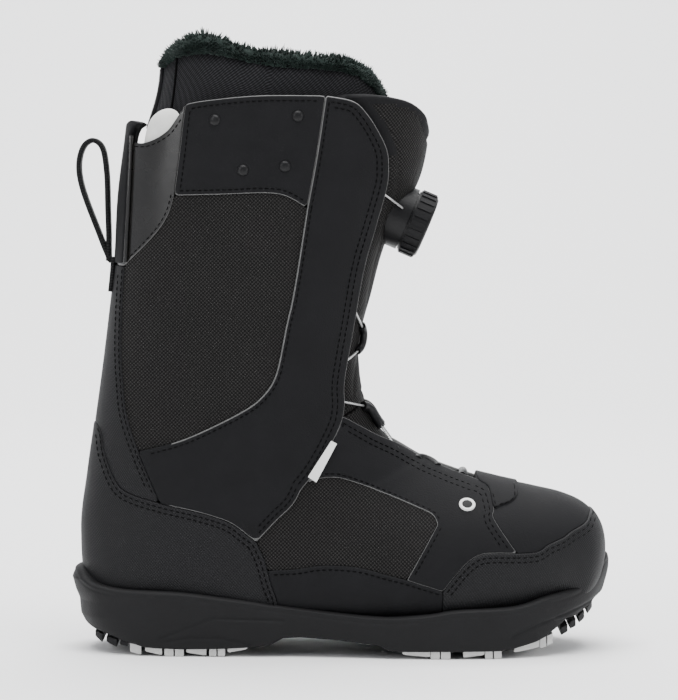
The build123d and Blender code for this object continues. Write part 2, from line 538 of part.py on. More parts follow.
hole = make_face(Wire([Edge.make_spline([Vector(x, 0, z) for x, z in [drawn_in(*p) for p in LOOP]], periodic=True)]))
webbing = extrude(face - hole, amount=14, dir=(0, 1, 0))
save("pull_loop", Pos(0, -7, 0) * webbing)
save("pull_loop_patch", (Pos(-131, 0, 209) * Box(8, 20, 18)) - outer)


def on_skin(x, z, side):
    """A plane on the upper's outer face, facing out."""
    y = surface_y(x, z)
    slope_x = (surface_y(x + 1, z) - surface_y(x - 1, z)) / 2
    slope_z = (surface_y(x, z + 1) - surface_y(x, z - 1)) / 2
    return Plane(origin=(x, toe_shift(x) + side * y, z), z_dir=(-slope_x, side, -slope_z))


rivets = []
for side in (-1, 1):
    for x, z in [(-69.5, 300.4), (-23.4, 302.6), (-53.9, 272.6), (-30.6, 274.8)]:
        head = on_skin(x, z, side).location * Cylinder(3.1, 2.4)
        rivets += solids_of(head - outer)
save("collar_rivets", rivets)
badge = on_skin(71.4, 84.7, -1).location * Cylinder(4.5, 2.4)
save("side_badge", badge - outer)
tag = prism([(-18, 101), (-13.3, 97.8), (-1.8, 119.2), (-5, 121)], -FAR, 0) & fan(inset_rows(-1.2, -1.2, -1.2), 14)
save("side_tag", tag - outer)
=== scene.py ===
# %% [markdown]
# # A snowboard boot, made piece by piece
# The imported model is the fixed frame: it says where every body, joint and node is. Everything here is made
# in metres in that same frame, +X to the toe, +Y to the inner side of the foot, +Z up.

# %% Load the frame
import json
import math
import random
import bpy
import numpy as np
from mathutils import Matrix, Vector, noise


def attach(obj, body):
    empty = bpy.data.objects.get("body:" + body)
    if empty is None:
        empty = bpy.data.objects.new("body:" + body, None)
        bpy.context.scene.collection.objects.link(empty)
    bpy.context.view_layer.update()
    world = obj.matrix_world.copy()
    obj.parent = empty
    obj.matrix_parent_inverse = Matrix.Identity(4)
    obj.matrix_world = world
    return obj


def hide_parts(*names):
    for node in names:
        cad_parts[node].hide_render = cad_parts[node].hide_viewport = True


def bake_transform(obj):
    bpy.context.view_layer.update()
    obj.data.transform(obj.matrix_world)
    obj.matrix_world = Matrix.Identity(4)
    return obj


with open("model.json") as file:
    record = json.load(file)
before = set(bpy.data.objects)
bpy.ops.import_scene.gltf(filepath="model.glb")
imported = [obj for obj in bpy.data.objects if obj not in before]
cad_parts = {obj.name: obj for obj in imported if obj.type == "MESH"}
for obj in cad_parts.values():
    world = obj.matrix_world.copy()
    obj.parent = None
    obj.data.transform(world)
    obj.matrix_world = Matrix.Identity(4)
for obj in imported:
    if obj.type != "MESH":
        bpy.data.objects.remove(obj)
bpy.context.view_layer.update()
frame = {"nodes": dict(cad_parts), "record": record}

# %% [markdown]
# ## Camera, floor and light
# A black boot needs large soft lights: their reflections draw the shape. The camera stands two metres off,
# a little above the boot's middle, so that the sole and the shaft keep their true proportions.

# %% Camera
MM = 0.001
LOOK_AT = Vector((-0.0006, 0.0, 0.170))
RISE = math.radians(3.0)
camera = bpy.data.objects.new("camera", bpy.data.cameras.new("camera"))
camera.data.lens = 180
camera.location = LOOK_AT + 2.0 * Vector((0, -math.cos(RISE), math.sin(RISE)))
camera.rotation_euler = (LOOK_AT - camera.location).to_track_quat("-Z", "Y").to_euler()
bpy.context.collection.objects.link(camera)
bpy.context.scene.camera = camera


# %% Lights
def soft_light(name, at, size, power, to=(0, 0, 0.16)):
    """A square area light that faces the boot, or another place."""
    data = bpy.data.lights.new(name, "AREA")
    data.size, data.energy = size, power
    light = bpy.data.objects.new(name, data)
    light.location = at
    light.rotation_euler = (Vector(to) - light.location).to_track_quat("-Z", "Y").to_euler()
    bpy.context.collection.objects.link(light)


soft_light("overhead", (0.0, -0.3, 2.0), 1.8, 85)
soft_light("left_front", (-1.6, -1.3, 1.0), 0.9, 13)
soft_light("right_front", (1.7, -0.8, 0.8), 0.8, 12)
soft_light("wall_wash", (0.0, 1.3, 2.6), 2.0, 150, (0.0, 3.4, 0.4))
world = bpy.data.worlds.new("studio")
world.use_nodes = True
world.node_tree.nodes["Background"].inputs["Color"].default_value = (0.93, 0.95, 1.0, 1)
world.node_tree.nodes["Background"].inputs["Strength"].default_value = 0.55
bpy.context.scene.world = world

# %% [markdown]
# ## Shader maths in plain expressions
# A finish is a small sum: weave plus grain plus wear. Wrapping a socket in a class that knows + - * / lets
# that sum be written as one line, and each operator adds its own Math node.


# %% Socket wrapper and finish builder
class Value:
    """A socket that can be used in arithmetic."""

    def __init__(self, finish, socket):
        self.finish, self.socket = finish, socket

    def maths(self, operation, *others):
        links = {i: other for i, other in enumerate((self,) + others)}
        return self.finish.node("ShaderNodeMath", {"operation": operation}, links)

    def __add__(self, other):
        return self.maths("ADD", other)

    def __sub__(self, other):
        return self.maths("SUBTRACT", other)

    def __mul__(self, other):
        return self.maths("MULTIPLY", other)

    def __truediv__(self, other):
        return self.maths("DIVIDE", other)

    def __pow__(self, other):
        return self.maths("POWER", other)

    def __rsub__(self, other):
        return self.finish.node("ShaderNodeMath", {"operation": "SUBTRACT"}, {0: other, 1: self})

    __radd__, __rmul__ = __add__, __mul__

    def sine(self):
        return self.maths("SINE")

    def clip(self):
        return self.finish.node("ShaderNodeClamp", {}, {"Value": self})


class Finish:
    """A material built from expressions."""

    def __init__(self, name, colour, roughness, **plain):
        self.material = bpy.data.materials.new(name)
        self.material.use_nodes = True
        self.tree = self.material.node_tree
        self.shader = self.tree.nodes["Principled BSDF"]
        self.colour = colour
        self.set("Base Color", (*colour, 1))
        self.set("Roughness", roughness)
        for key, value in plain.items():
            self.set(key.replace("_", " "), value)

    def set(self, name, value):
        if isinstance(value, Value):
            self.tree.links.new(value.socket, self.shader.inputs[name])
        else:
            self.shader.inputs[name].default_value = value

    def node(self, kind, settings, inputs, output=0):
        """Any node: its settings come first, then the values or links of its sockets."""
        node = self.tree.nodes.new(kind)
        for key, value in settings.items():
            setattr(node, key, value)
        for key, value in inputs.items():
            if isinstance(value, Value):
                self.tree.links.new(value.socket, node.inputs[key])
            else:
                node.inputs[key].default_value = value
        return Value(self, node.outputs[output])

    def place(self):
        return self.node("ShaderNodeTexCoord", {}, {}, "Object")

    def cloth(self):
        """Distances along and across the cloth, in metres."""
        return self.node("ShaderNodeAttribute", {"attribute_name": "cloth"}, {}, "Vector")

    def parts(self, vector):
        split = self.node("ShaderNodeSeparateXYZ", {}, {0: vector})
        return [Value(self, socket) for socket in split.socket.node.outputs]

    def cloud(self, scale, detail=2.0, rough=0.5, where=None):
        links = {"Vector": where or self.place(), "Scale": scale, "Detail": detail, "Roughness": rough}
        return self.node("ShaderNodeTexNoise", {}, links, "Fac")

    def cells(self, scale, where=None, feature="F1"):
        links = {"Vector": where or self.place(), "Scale": scale}
        return self.node("ShaderNodeTexVoronoi", {"feature": feature}, links, "Distance")

    def blend(self, mask, low, high):
        links = {"Factor": mask, 6: (*low, 1), 7: (*high, 1)}
        return self.node("ShaderNodeMix", {"data_type": "RGBA"}, links, 2)

    def bump(self, height, depth, strength=1.0):
        links = {"Height": height, "Distance": depth, "Strength": strength}
        self.set("Normal", self.node("ShaderNodeBump", {}, links))


def shade(colour, factor):
    """A colour made lighter or darker."""
    return tuple(min(1.0, c * factor) for c in colour)


finishes = {}
print("finish builder ready")

# %% [markdown]
# ## Cloth and leather finishes
# The boot is nearly all black, so the pieces differ in weave, grain and sheen. Nubuck is matt with a soft cloudy
# nap;
# ballistic nylon shows square dots with painted highlight on its knots and painted shade between them; the guard
# leather has a fine pressed basket grain.

# %% Sewn materials
def nubuck(name, colour):
    f = Finish(name, colour, 0.72, Sheen_Weight=0.02, Sheen_Roughness=0.5, Specular_IOR_Level=0.1)
    nap, pore = f.cloud(60, 4), f.cells(1500)
    f.set("Base Color", f.blend(nap, shade(colour, 0.72), shade(colour, 1.5)))
    f.set("Roughness", 0.62 + nap * 0.22)
    f.bump(pore * 0.5 + f.cloud(900, 3), 0.00016, 0.8)
    return f


def woven(name, colour, pitch, dot=2.2, depth=0.0003, slant=False):
    f = Finish(name, colour, 0.6, Specular_IOR_Level=0.12)
    across, along, _ = f.parts(f.cloth())
    if slant:
        across = across + along
    turn = 2 * math.pi / pitch
    weft, warp = (across * turn).sine(), ((along - across * 0.5 if slant else along) * turn).sine()
    dots = (weft * 0.38 + warp * 0.12 + 0.5 if slant else weft * warp * 0.5 + 0.5) ** 2
    dirt = f.cloud(35, 3)
    # Colour of the weave: the raised knots are lightened by dot as painted highlight, the gaps between them are
    # darkened as painted shade, and dirt is a random cloud that varies how strong this is.
    f.set("Base Color", f.blend((dots * (0.7 + dirt * 0.6)).clip(), shade(colour, 0.25), shade(colour, dot)))
    f.set("Roughness", 0.7 - dots * 0.25)
    f.bump(dots + f.cloud(2500, 2) * 0.3, depth, 0.9)
    return f


def pressed_grain(name, colour):
    f = Finish(name, colour, 0.5, Specular_IOR_Level=0.14)
    across, along, _ = f.parts(f.cloth())
    turn = 2 * math.pi / 0.0019
    ribs = ((across + along) * turn).sine() * 0.5 + ((across - along) * turn).sine() * 0.3
    ribs, wear = ribs * 0.6 + 0.5, f.cloud(45, 4)
    f.set("Base Color", f.blend((ribs * (0.7 + wear * 0.6)).clip(), shade(colour, 0.45), shade(colour, 1.8)))
    f.set("Roughness", 0.46 + wear * 0.22)
    f.bump(ribs + f.cloud(2600, 2) * 0.3, 0.00022, 0.9)
    return f


finishes["nubuck"] = nubuck("nubuck", (0.0065, 0.0065, 0.0072))
# The fourth number of each woven finish sets how far the painted highlight lightens the knots of its weave.
finishes["mesh"] = woven("ballistic_nylon", (0.0036, 0.0034, 0.0033), 0.0021, 7.5, 0.0006)
finishes["tongue"] = woven("tongue_nylon", (0.0036, 0.0034, 0.0033), 0.0021, 7.5, 0.0006)
finishes["guard"] = pressed_grain("guard_leather", (0.0075, 0.0075, 0.0082))
finishes["twill"] = woven("liner_twill", (0.010, 0.010, 0.0112), 0.0019, 2.6, 0.0002, True)
finishes["webbing"] = woven("webbing", (0.009, 0.009, 0.0095), 0.0016, 1.8, 0.0003)
finishes["fleece"] = nubuck("fleece", (0.014, 0.014, 0.015))
gloss = Finish("gloss_leather", (0.007, 0.0066, 0.0063), 0.2, Specular_IOR_Level=0.5, Coat_Weight=0.3,
    Coat_Roughness=0.18)
gloss.set("Roughness", 0.18 + gloss.cloud(50, 3) * 0.16)
gloss.bump(gloss.cloud(160, 3), 0.0003, 0.35)
finishes["gloss"] = gloss
# Pale grey for the rounded rims of some panels: partly the colour of the cut leather edge, partly a painted
# highlight along the fold.
edge = Finish("raw_edge_and_highlight", (0.09, 0.09, 0.09), 0.7)
edge.set("Base Color", edge.blend(edge.cloud(700, 3), (0.045, 0.045, 0.045), (0.15, 0.15, 0.148)))
edge.bump(edge.cloud(1800, 3), 0.0002, 0.8)
finishes["edge"] = edge
print("sewn finishes", list(finishes))

# %% [markdown]
# ## Rubber, plastic, metal and thread
# Moulded rubber is matt with a fine skin; nylon parts carry a spark-eroded texture; the lace is bright
# steel under a clear coat; thread is slightly glossy and lies in tiny beads.

# %% Hard materials
def moulded(name, colour, roughness, grain, depth, **plain):
    f = Finish(name, colour, roughness, **plain)
    haze = f.cloud(40, 4)
    f.set("Base Color", f.blend(haze, shade(colour, 0.75), shade(colour, 1.35)))
    f.set("Roughness", roughness - 0.07 + haze * 0.16)
    f.bump(f.cells(grain) + f.cloud(grain * 0.7, 2), depth, 0.7)
    return f


finishes["rubber"] = moulded("sole_rubber", (0.0075, 0.0075, 0.008), 0.62, 1200, 0.00012,
    Specular_IOR_Level=0.16)
finishes["pale_rubber"] = moulded("pale_rubber", (0.42, 0.42, 0.41), 0.6, 900, 0.0001)
finishes["nylon"] = moulded("moulded_nylon", (0.0045, 0.0045, 0.005), 0.38, 2200, 0.00005,
    Specular_IOR_Level=0.22)
finishes["grip"] = moulded("grip_rubber", (0.0065, 0.0065, 0.007), 0.55, 1800, 0.00006,
    Specular_IOR_Level=0.18)
finishes["satin_black"] = moulded("satin_black", (0.006, 0.006, 0.0065), 0.36, 1500, 0.00003,
    Specular_IOR_Level=0.2)
finishes["label"] = moulded("white_label", (0.74, 0.74, 0.72), 0.35, 1500, 0.00003)
finishes["foam"] = nubuck("white_foam_cloth", (0.62, 0.62, 0.60))
finishes["thread"] = moulded("thread", (0.0012, 0.0012, 0.0013), 0.6, 3000, 0.00005, Specular_IOR_Level=0.05)
steel = Finish("steel_rope", (0.62, 0.62, 0.61), 0.3, Metallic=0.85, Coat_Weight=0.4, Coat_Roughness=0.2)
across, along, _ = steel.parts(steel.cloth())
strands = ((across * 3.0 + along * 5200.0)).sine()
steel.set("Base Color", steel.blend(strands * 0.5 + 0.5, (0.25, 0.25, 0.25), (0.78, 0.78, 0.77)))
steel.bump(strands, 0.0001, 0.7)
finishes["steel"] = steel
print("finishes", len(finishes))

# %% [markdown]
# ## The last's surface
# Boots are made round a last. Here the last is a table of stations, flat closed curves that fan from the
# top of the shaft, round the heel, to the toe. Reading the table between its rows gives any point of the
# upper, and every sewn panel is a patch of that one surface, so neighbouring panels meet exactly.

# %% Stations
# front x, z; back x, z; half width; place of the widest point; squareness of front and back, in millimetres
STATIONS = np.array([
    (58.0, 352, -118.0, 352, 53.0, 0.50, 2.3, 2.2),
    (57.0, 326, -119.0, 320, 53.5, 0.50, 2.3, 2.2),
    (55.0, 300, -121.5, 294, 54.0, 0.50, 2.3, 2.2),
    (49.0, 268, -126.0, 258, 53.5, 0.50, 2.3, 2.2),
    (31.0, 235, -128.0, 222, 53.0, 0.50, 2.3, 2.2),
    (21.0, 201, -131.5, 192, 52.0, 0.50, 2.3, 2.2),
    (14.5, 168, -135.5, 160, 50.0, 0.50, 2.3, 2.2),
    (17.0, 144, -140.0, 128, 48.0, 0.50, 2.3, 2.2),
    (24.0, 130, -144.0, 100, 46.0, 0.50, 2.3, 2.3),
    (34.0, 119, -147.5, 68, 44.5, 0.50, 2.2, 2.4),
    (46.0, 111, -143.0, 32, 44.0, 0.45, 2.2, 2.6),
    (53.0, 108.2, -124.0, 23.5, 44.5, 0.43, 2.2, 2.8),
    (60.0, 105.5, -100.0, 20, 45.5, 0.42, 2.2, 3.0),
    (68.0, 103, -76.0, 19, 47.5, 0.41, 2.2, 3.2),
    (76.0, 100.5, -50.0, 18.5, 50.0, 0.40, 2.2, 3.4),
    (85.0, 98.2, -20.0, 17.8, 52.5, 0.39, 2.2, 3.4),
    (94.0, 96, 10.0, 17, 54.5, 0.38, 2.2, 3.4),
    (103.0, 94, 36.0, 16.5, 55.0, 0.38, 2.2, 3.4),
    (112.0, 92, 60.0, 16, 54.5, 0.38, 2.2, 3.4),
    (128.0, 88, 88.0, 17, 50.5, 0.42, 2.2, 3.0),
    (141.0, 81.5, 104.0, 19, 45.5, 0.45, 2.2, 2.8),
    (149.0, 71, 112.0, 21, 41.0, 0.47, 2.2, 2.6),
    (151.5, 57, 116.0, 22, 37.5, 0.50, 2.2, 2.6),
    (149.0, 42, 118.0, 23, 34.5, 0.50, 2.2, 2.6),
    (141.0, 31, 119.0, 24, 30.0, 0.50, 2.2, 2.6),
])


def between(rows, u):
    """Rows read smoothly at fractional row numbers."""
    u = np.asarray(u, float)
    last = len(rows) - 1
    i = np.minimum(u.astype(int), last - 1)
    a, b, c, d = (rows[np.clip(i + k, 0, last)] for k in (-1, 0, 1, 2))
    t = (u - i)[..., None]
    return 0.5 * (2 * b + (c - a) * t + (2 * a - 5 * b + 4 * c - d) * t**2 + (3 * b - 3 * c + d - a) * t**3)


def middle_y(x):
    """The boot's middle line turns a little to the inner side at the toe."""
    return 6 * (np.maximum(0, x - 20) / 130) ** 2


def drawn_in(front, back, side, nose=9.0):
    """The stations with gaps at the front, the back and both sides, each a number or a list down the shaft."""
    rows = STATIONS.copy()
    count = len(rows)
    way = rows[:, 0:2] - rows[:, 2:4]
    way /= np.linalg.norm(way, axis=1)[:, None]

    def gaps(value, ends):
        run = ends[np.clip(np.arange(count) + 1, 0, count - 1)] - ends[np.clip(np.arange(count) - 1, 0,
            count - 1)]
        run /= np.linalg.norm(run, axis=1)[:, None]
        steep = np.minimum(2.4, 1 / np.abs(way[:, 0] * run[:, 1] - way[:, 1] * run[:, 0]))
        value = list(value) if isinstance(value, (list, tuple)) else [value]
        return (np.array([value[min(i, len(value) - 1)] for i in range(count)]) * steep)[:, None]

    front_gap, back_gap = gaps(front, rows[:, 0:2]), gaps(back, rows[:, 2:4])
    rows[:, 0:2] -= front_gap * way
    rows[:, 2:4] += back_gap * way
    rows[:, 4] -= side
    rows[:, 6] = np.minimum(rows[:, 6], nose)
    return rows


def fan(rows, u, v):
    """Points of the fan, in millimetres, at row numbers u and angles v."""
    r = between(rows, u)
    fx, fz, bx, bz, half, share, nf, nb = (r[..., k] for k in range(8))
    c, s = np.cos(v), np.sin(v)
    n = np.where(c > 0, nf, nb)
    reach = np.where(c > 0, 1 - share, share)
    along = share + np.sign(c) * np.abs(c) ** (2 / n) * reach
    x = bx + (fx - bx) * along
    return np.stack([x, np.sign(s) * np.abs(s) ** (2 / n) * half + middle_y(x), bz + (fz - bz) * along], -1)


def half_width(x, z, rows):
    """Half width of a fan where a side view shows x, z."""
    x, z = np.asarray(x, float), np.asarray(z, float)
    low, high = np.zeros(x.shape), np.full(x.shape, len(rows) - 1.0)

    def side(u):
        r = between(rows, u)
        return (r[..., 0] - r[..., 2]) * (z - r[..., 3]) - (r[..., 1] - r[..., 3]) * (x - r[..., 2])

    at_low = side(low)
    for _ in range(30):
        mid = (low + high) / 2
        here = side(mid)
        crossed = at_low * here <= 0
        high = np.where(crossed, mid, high)
        low, at_low = np.where(crossed, low, mid), np.where(crossed, at_low, here)
    fx, fz, bx, bz, half, share, nf, nb = np.moveaxis(between(rows, low), -1, 0)
    long = np.hypot(fx - bx, fz - bz)
    along = ((x - bx) * (fx - bx) + (z - bz) * (fz - bz)) / long - share * long
    n, reach = np.where(along > 0, nf, nb), np.where(along > 0, 1 - share, share) * long
    return half * np.maximum(0, 1 - np.minimum(1, np.abs(along) / reach) ** n) ** (1 / n)


print("half width at the ankle", round(float(half_width(-60, 150, STATIONS)), 1), "mm")

# %% [markdown]
# ## Seam lines
# A pattern cutter draws the boot from the side. Each seam is a few points through which a smooth curve
# runs, and panels that share a seam use the same curve, so there is never a gap between them.

# %% Seam lines
SEAMS = {
    "counter_top": [(-160, 131), (-137, 129), (-132, 113), (-127, 100), (-120, 92), (-100.6, 86), (-78.6, 81),
                    (-62, 75.5), (-51, 67.5), (-46.9, 64.3)],
    "counter_front": [(-46.9, 64.3), (-42.3, 54.2), (-38.6, 41.3), (-34.5, 29), (-33, 10)],
    "stay_front": [(-120.7, 218.7), (-122, 195), (-122.5, 173), (-121.5, 154), (-119.3, 135), (-112.7, 115),
                   (-100.6, 86)],
    "gloss_edge": [(-120.7, 218.7), (-104, 235.3), (-95.7, 247.2), (-92.1, 258.5)],
    "band_bottom": [(-92.1, 258.5), (-63.5, 259.2), (-41.8, 260), (-29.8, 258.2), (-18.5, 251.6)],
    "band_back": [(-92.1, 258.5), (-89.3, 279.5), (-87, 298.8), (-85.6, 309.4)],
    "band_top": [(-85.6, 309.4), (-72.8, 311.5), (-44.5, 314), (-8.1, 314)],
    "flap_back": [(-18.5, 251.6), (-13.4, 279), (-8.1, 314)],
    "mesh_front": [(-18.5, 251.6), (-25.9, 206), (-30.2, 186.4), (-34.6, 164.3), (-37.9, 154.4),
        (-43.4, 146.8),
                   (-51.2, 140.3), (-67.6, 131.4), (-89.6, 121.5), (-112.7, 115)],
    "flap_front": [(-8.1, 314), (7, 311), (14.5, 304.3), (21, 294.2), (25.6, 284), (26.5, 274.8),
        (25.6, 263.8),
                   (19.1, 240.7), (12.6, 217.6), (6.6, 184), (1.6, 154.2), (1.6, 140.3), (-0.9, 128.4),
                   (-12.3, 106.6), (-22.2, 93.5)],
    "flap_foot": [(-22.2, 93.5), (-26.7, 85.2), (-35.8, 76.3), (-46.9, 64.3)],
    "eyestay": [(-0.9, 128.4), (0.3, 134), (10.6, 128.4), (20.5, 122.5), (32.4, 116.5), (46.3, 108.6),
        (60.2, 102.6),
                (77.1, 96.5)],
    "vamp_seam": [(77.1, 96.5), (83.2, 93), (86.4, 82), (86.4, 76.4), (98.8, 58.4)],
    "cap_top": [(98.8, 58.4), (109.9, 58.9), (116.4, 62.6), (125, 66), (129.7, 69), (138.2, 73), (142.9, 79),
                (160, 92)],
    "cap_back": [(57.3, 37.8), (65.6, 48), (73, 55.2), (81.3, 58.5), (98.8, 58.4)],
    "side_mesh_top": [(-22.2, 93.5), (-16.3, 98.6), (-5.3, 100.2), (4.9, 98.2), (27.8, 89.3), (43.3, 83),
                      (51.7, 79.1), (54.7, 74.1)],
    "side_mesh_front": [(54.7, 74.1), (45.8, 58.6), (37.3, 44)],
    "rand_top": [(-40.6, 48.5), (-25, 49.3), (-12.2, 51.4), (0.6, 51.6), (13.3, 50.2), (26.1, 46.8),
        (37.3, 44),
                 (57.3, 37.8)],
    "sole_lip": [(-165, 50), (-152, 47), (-146, 42), (-140, 39), (-124, 36.8), (-91, 35.7), (-63.5, 32.5),
                 (-35, 28.8), (0.6, 24.6), (26, 22.9), (50, 24.6), (65.6, 27), (98, 28.5), (116, 33),
                     (135, 37),
                 (147, 43), (152, 53), (165, 58)],
    "rear_top": [(-85.6, 309.4), (-91, 301), (-96, 294.5), (-103, 290), (-110, 287.8), (-118, 288),
        (-160, 288)],
    "strip_top": [(-117.4, 290), (-115.5, 296), (-112, 299), (-117, 300.5), (-125, 297), (-160, 294)],
}
STEPS = 7


def run(name, first=0, last=None):
    """The smooth curve through a seam's points, from one of them to another; first after last runs it backwards."""
    points = np.array(SEAMS[name], float)
    last = len(points) - 1 if last is None else last % len(points)
    first %= len(points)
    low, high = sorted((first, last))
    curve = between(points, np.linspace(low, high, (high - low) * STEPS + 1))
    return [tuple(p) for p in (curve if last > first else curve[::-1])]


OUTLINES = {
    "quarter": run("eyestay") + run("vamp_seam")[1:] + run("cap_back", -1, 0)[1:] + run("side_mesh_front",
        -1, 0)
    + run("side_mesh_top", -1, 0)[1:] + [(-12.3, 106.6)],
    "side_mesh": run("side_mesh_top") + run("side_mesh_front")[1:] + run("rand_top", -2, 0)[1:]
    + run("counter_front", 1, 0) + run("flap_foot", -1, 0)[1:],
    "side_rand": run("rand_top") + [(57.3, 10)] + run("counter_front", -1, 1),
    "shaft_mesh": run("gloss_edge") + run("band_bottom")[1:] + run("mesh_front")[1:] + run("stay_front", -2,
        0)[1:],
    "collar_band": run("band_back") + run("band_top")[1:] + run("flap_back", -1, 0)[1:]
    + run("band_bottom", -1, 0)[1:],
    "cuff_flap": run("flap_front") + run("flap_foot")[1:] + run("counter_top", -1,
        5)[1:] + run("stay_front", -1, -2)
    + run("mesh_front", -1, 0)[1:] + run("flap_back")[1:],
    "toe_cap": run("cap_back", -1, 0) + [(57.3, 10), (170, 10), (170, 92)] + run("cap_top", -1, 0),
    "toe_box": [(77.1, 120), (170, 120), (170, 92)] + run("cap_top", -1, 0) + run("vamp_seam", -1, 0)[1:],
    "heel_counter": run("counter_top") + run("counter_front")[1:] + [(-160, 10)],
    "back_stay": [(-160, 218.7)] + run("stay_front") + run("counter_top", 5, 0)[1:],
    "vamp_tab": [tuple(p) for p in between(np.array([(76, 112), (100, 112), (101, 95), (100.6, 89),
        (97, 85), (91, 83.2),
                                                     (86.2, 82.4), (83.6, 92), (77.5, 97), (76, 112)], float),
                                           np.linspace(0, 9, 64))],
    "rear_strip": [(-160, 220), (-121, 220)] + run("strip_top"),
    "rear_panel": [(-160, 218.7)] + run("gloss_edge") + run("band_back")[1:] + run("rear_top")[1:],
}
LIP = np.array(run("sole_lip"))


def inside(points, outline):
    """Signed distance to a closed outline, positive inside it."""
    p = np.asarray(points, float)
    a = np.array(outline, float)
    b = np.roll(a, -1, 0)
    nearest = np.full(len(p), 1e9)
    odd = np.zeros(len(p), bool)
    for (ax, az), (bx, bz) in zip(a, b):
        dx, dz = bx - ax, bz - az
        if dx == dz == 0:
            continue
        t = np.clip(((p[:, 0] - ax) * dx + (p[:, 1] - az) * dz) / (dx * dx + dz * dz), 0, 1)
        nearest = np.minimum(nearest, np.hypot(p[:, 0] - ax - t * dx, p[:, 1] - az - t * dz))
        if dz:
            odd ^= ((az > p[:, 1]) != (bz > p[:, 1])) & (p[:, 0] < ax + dx * (p[:, 1] - az) / dz)
    return np.where(odd, nearest, -nearest)


print("seams", len(SEAMS), "panels", len(OUTLINES))

# %% [markdown]
# ## Cutting a panel
# A panel is the part of the last's surface inside its outline. Faces are clipped where the distance to the
# outline changes sign, so the cut edge is as smooth as the drawn seam. The distance also shapes the edge:
# the surface rises over the last millimetre as folded leather does, and then turns in towards the foot.

# %% Surface grid and cutter
ROWS_U, ROUND_V = 300, 264
grid_u = np.linspace(0, 24, ROWS_U)
grid_v = np.linspace(0, 2 * math.pi, ROUND_V, endpoint=False)
V, U = np.meshgrid(grid_v, grid_u)


def outward(p):
    """Unit normals of a closed grid of points, pointing out of the boot."""
    du = np.gradient(p, axis=0)
    dv = np.roll(p, -1, 1) - np.roll(p, 1, 1)
    n = np.cross(dv, du)
    n /= np.linalg.norm(n, axis=-1)[..., None] + 1e-12
    return n * np.sign(n[len(n) // 4, 66, 1] or 1)


BASE = fan(drawn_in(1.5, 1.5, 1.5), U, V)
NORMAL = outward(BASE)
around = np.cumsum(np.linalg.norm(np.roll(BASE, -1, 1) - BASE, axis=-1), axis=1)
along = np.cumsum(np.linalg.norm(np.diff(BASE, axis=0, prepend=BASE[:1]), axis=-1), axis=0)
CLOTH = np.stack([around - around[:, ROUND_V // 2:ROUND_V // 2 + 1], along], -1) * MM


def clip(polygons, values, level, keep_low):
    """Cuts polygons of (point number) where a value crosses a level. Returns the faces kept and new mixed points."""
    made, mixed, cache = [], [], {}
    count = len(values)

    def crossing(a, b):
        key = (min(a, b), max(a, b))
        if key not in cache:
            t = (level - values[key[0]]) / (values[key[1]] - values[key[0]])
            cache[key] = count + len(mixed)
            mixed.append((key[0], key[1], t))
        return cache[key]

    for face in polygons:
        high = [values[i] >= level for i in face]
        if all(high):
            made.append(face)
            continue
        if not any(high):
            if keep_low:
                made.append(face)
            continue
        upper, lower = [], []
        for k, i in enumerate(face):
            j = face[(k + 1) % len(face)]
            (upper if high[k] else lower).append(i)
            if high[k] != high[(k + 1) % len(face)]:
                c = crossing(i, j)
                upper.append(c)
                lower.append(c)
        made.append(upper)
        if keep_low:
            made.append(lower)
    return made, mixed


def grow(array, mixed):
    """Adds the mixed points' values to an array."""
    if not mixed:
        return array
    a, b, t = (np.array(column) for column in zip(*mixed))
    t = t.reshape((-1,) + (1,) * (array.ndim - 1))
    return np.concatenate([array, array[a] * (1 - t) + array[b] * t])


def patch(phi, levels, extra):
    """Grid faces with phi above zero, also cut along the levels. extra are arrays that the new points share."""
    rows, cols = phi.shape
    number = np.arange(rows * cols).reshape(rows, cols)
    right = np.roll(number, -1, 1)
    quads = np.stack([number[:-1], number[1:], right[1:], right[:-1]], -1).reshape(-1, 4)
    value = phi.ravel()
    quads = quads[(value[quads] > 0).any(1)]
    faces = [list(map(int, q)) for q in quads]
    arrays = [value] + [e.reshape((rows * cols,) + e.shape[2:]) for e in extra]
    for k, level in enumerate([0.0] + list(levels)):
        faces, mixed = clip(faces, arrays[0], level, keep_low=k > 0)
        arrays = [grow(a, mixed) for a in arrays]
    used = np.unique([i for f in faces for i in f])
    new = np.full(len(arrays[0]), -1)
    new[used] = np.arange(len(used))
    return [[int(new[i]) for i in f] for f in faces], [a[used] for a in arrays]


def piece(name, points, faces, finish, body, cad=(), cloth=None, smooth=True, second=None,
    marks=None):
    """A mesh piece in millimetre points, on its body, with its finish."""
    mesh = bpy.data.meshes.new(name)
    mesh.from_pydata([tuple(p) for p in np.asarray(points) * MM], [], faces)
    mesh.materials.append(finishes[finish].material)
    if second:
        mesh.materials.append(finishes[second].material)
        mesh.polygons.foreach_set("material_index", marks)
    if cloth is not None:
        layer = mesh.attributes.new("cloth", "FLOAT_VECTOR", "POINT")
        flat = np.zeros((len(points), 3), np.float32)
        flat[:, :2] = cloth
        layer.data.foreach_set("vector", flat.ravel())
    mesh.polygons.foreach_set("use_smooth", [smooth] * len(faces))
    mesh.validate()
    mesh.update()
    thing = bpy.data.objects.new(name, mesh)
    bpy.context.collection.objects.link(thing)
    if body:
        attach(thing, body)
    if cad:
        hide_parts(*cad)
    return thing


def rim(faces):
    """Directed edges used by one face only."""
    count = {}
    for f in faces:
        for a, b in zip(f, f[1:] + f[:1]):
            count[(a, b)] = count.get((a, b), 0) + 1
    return [(a, b) for (a, b) in count if (b, a) not in count]


def two_sided(faces, count, walls=True):
    """Faces of a sheet, its back with numbers raised by count, and the wall round its rim."""
    back = [[i + count for i in f[::-1]] for f in faces]
    wall = [[b, a, a + count, b + count] for a, b in rim(faces)] if walls else []
    return faces + back + wall


print("grid", BASE.shape, "normals out", round(float(NORMAL[60, 66, 1]), 2))

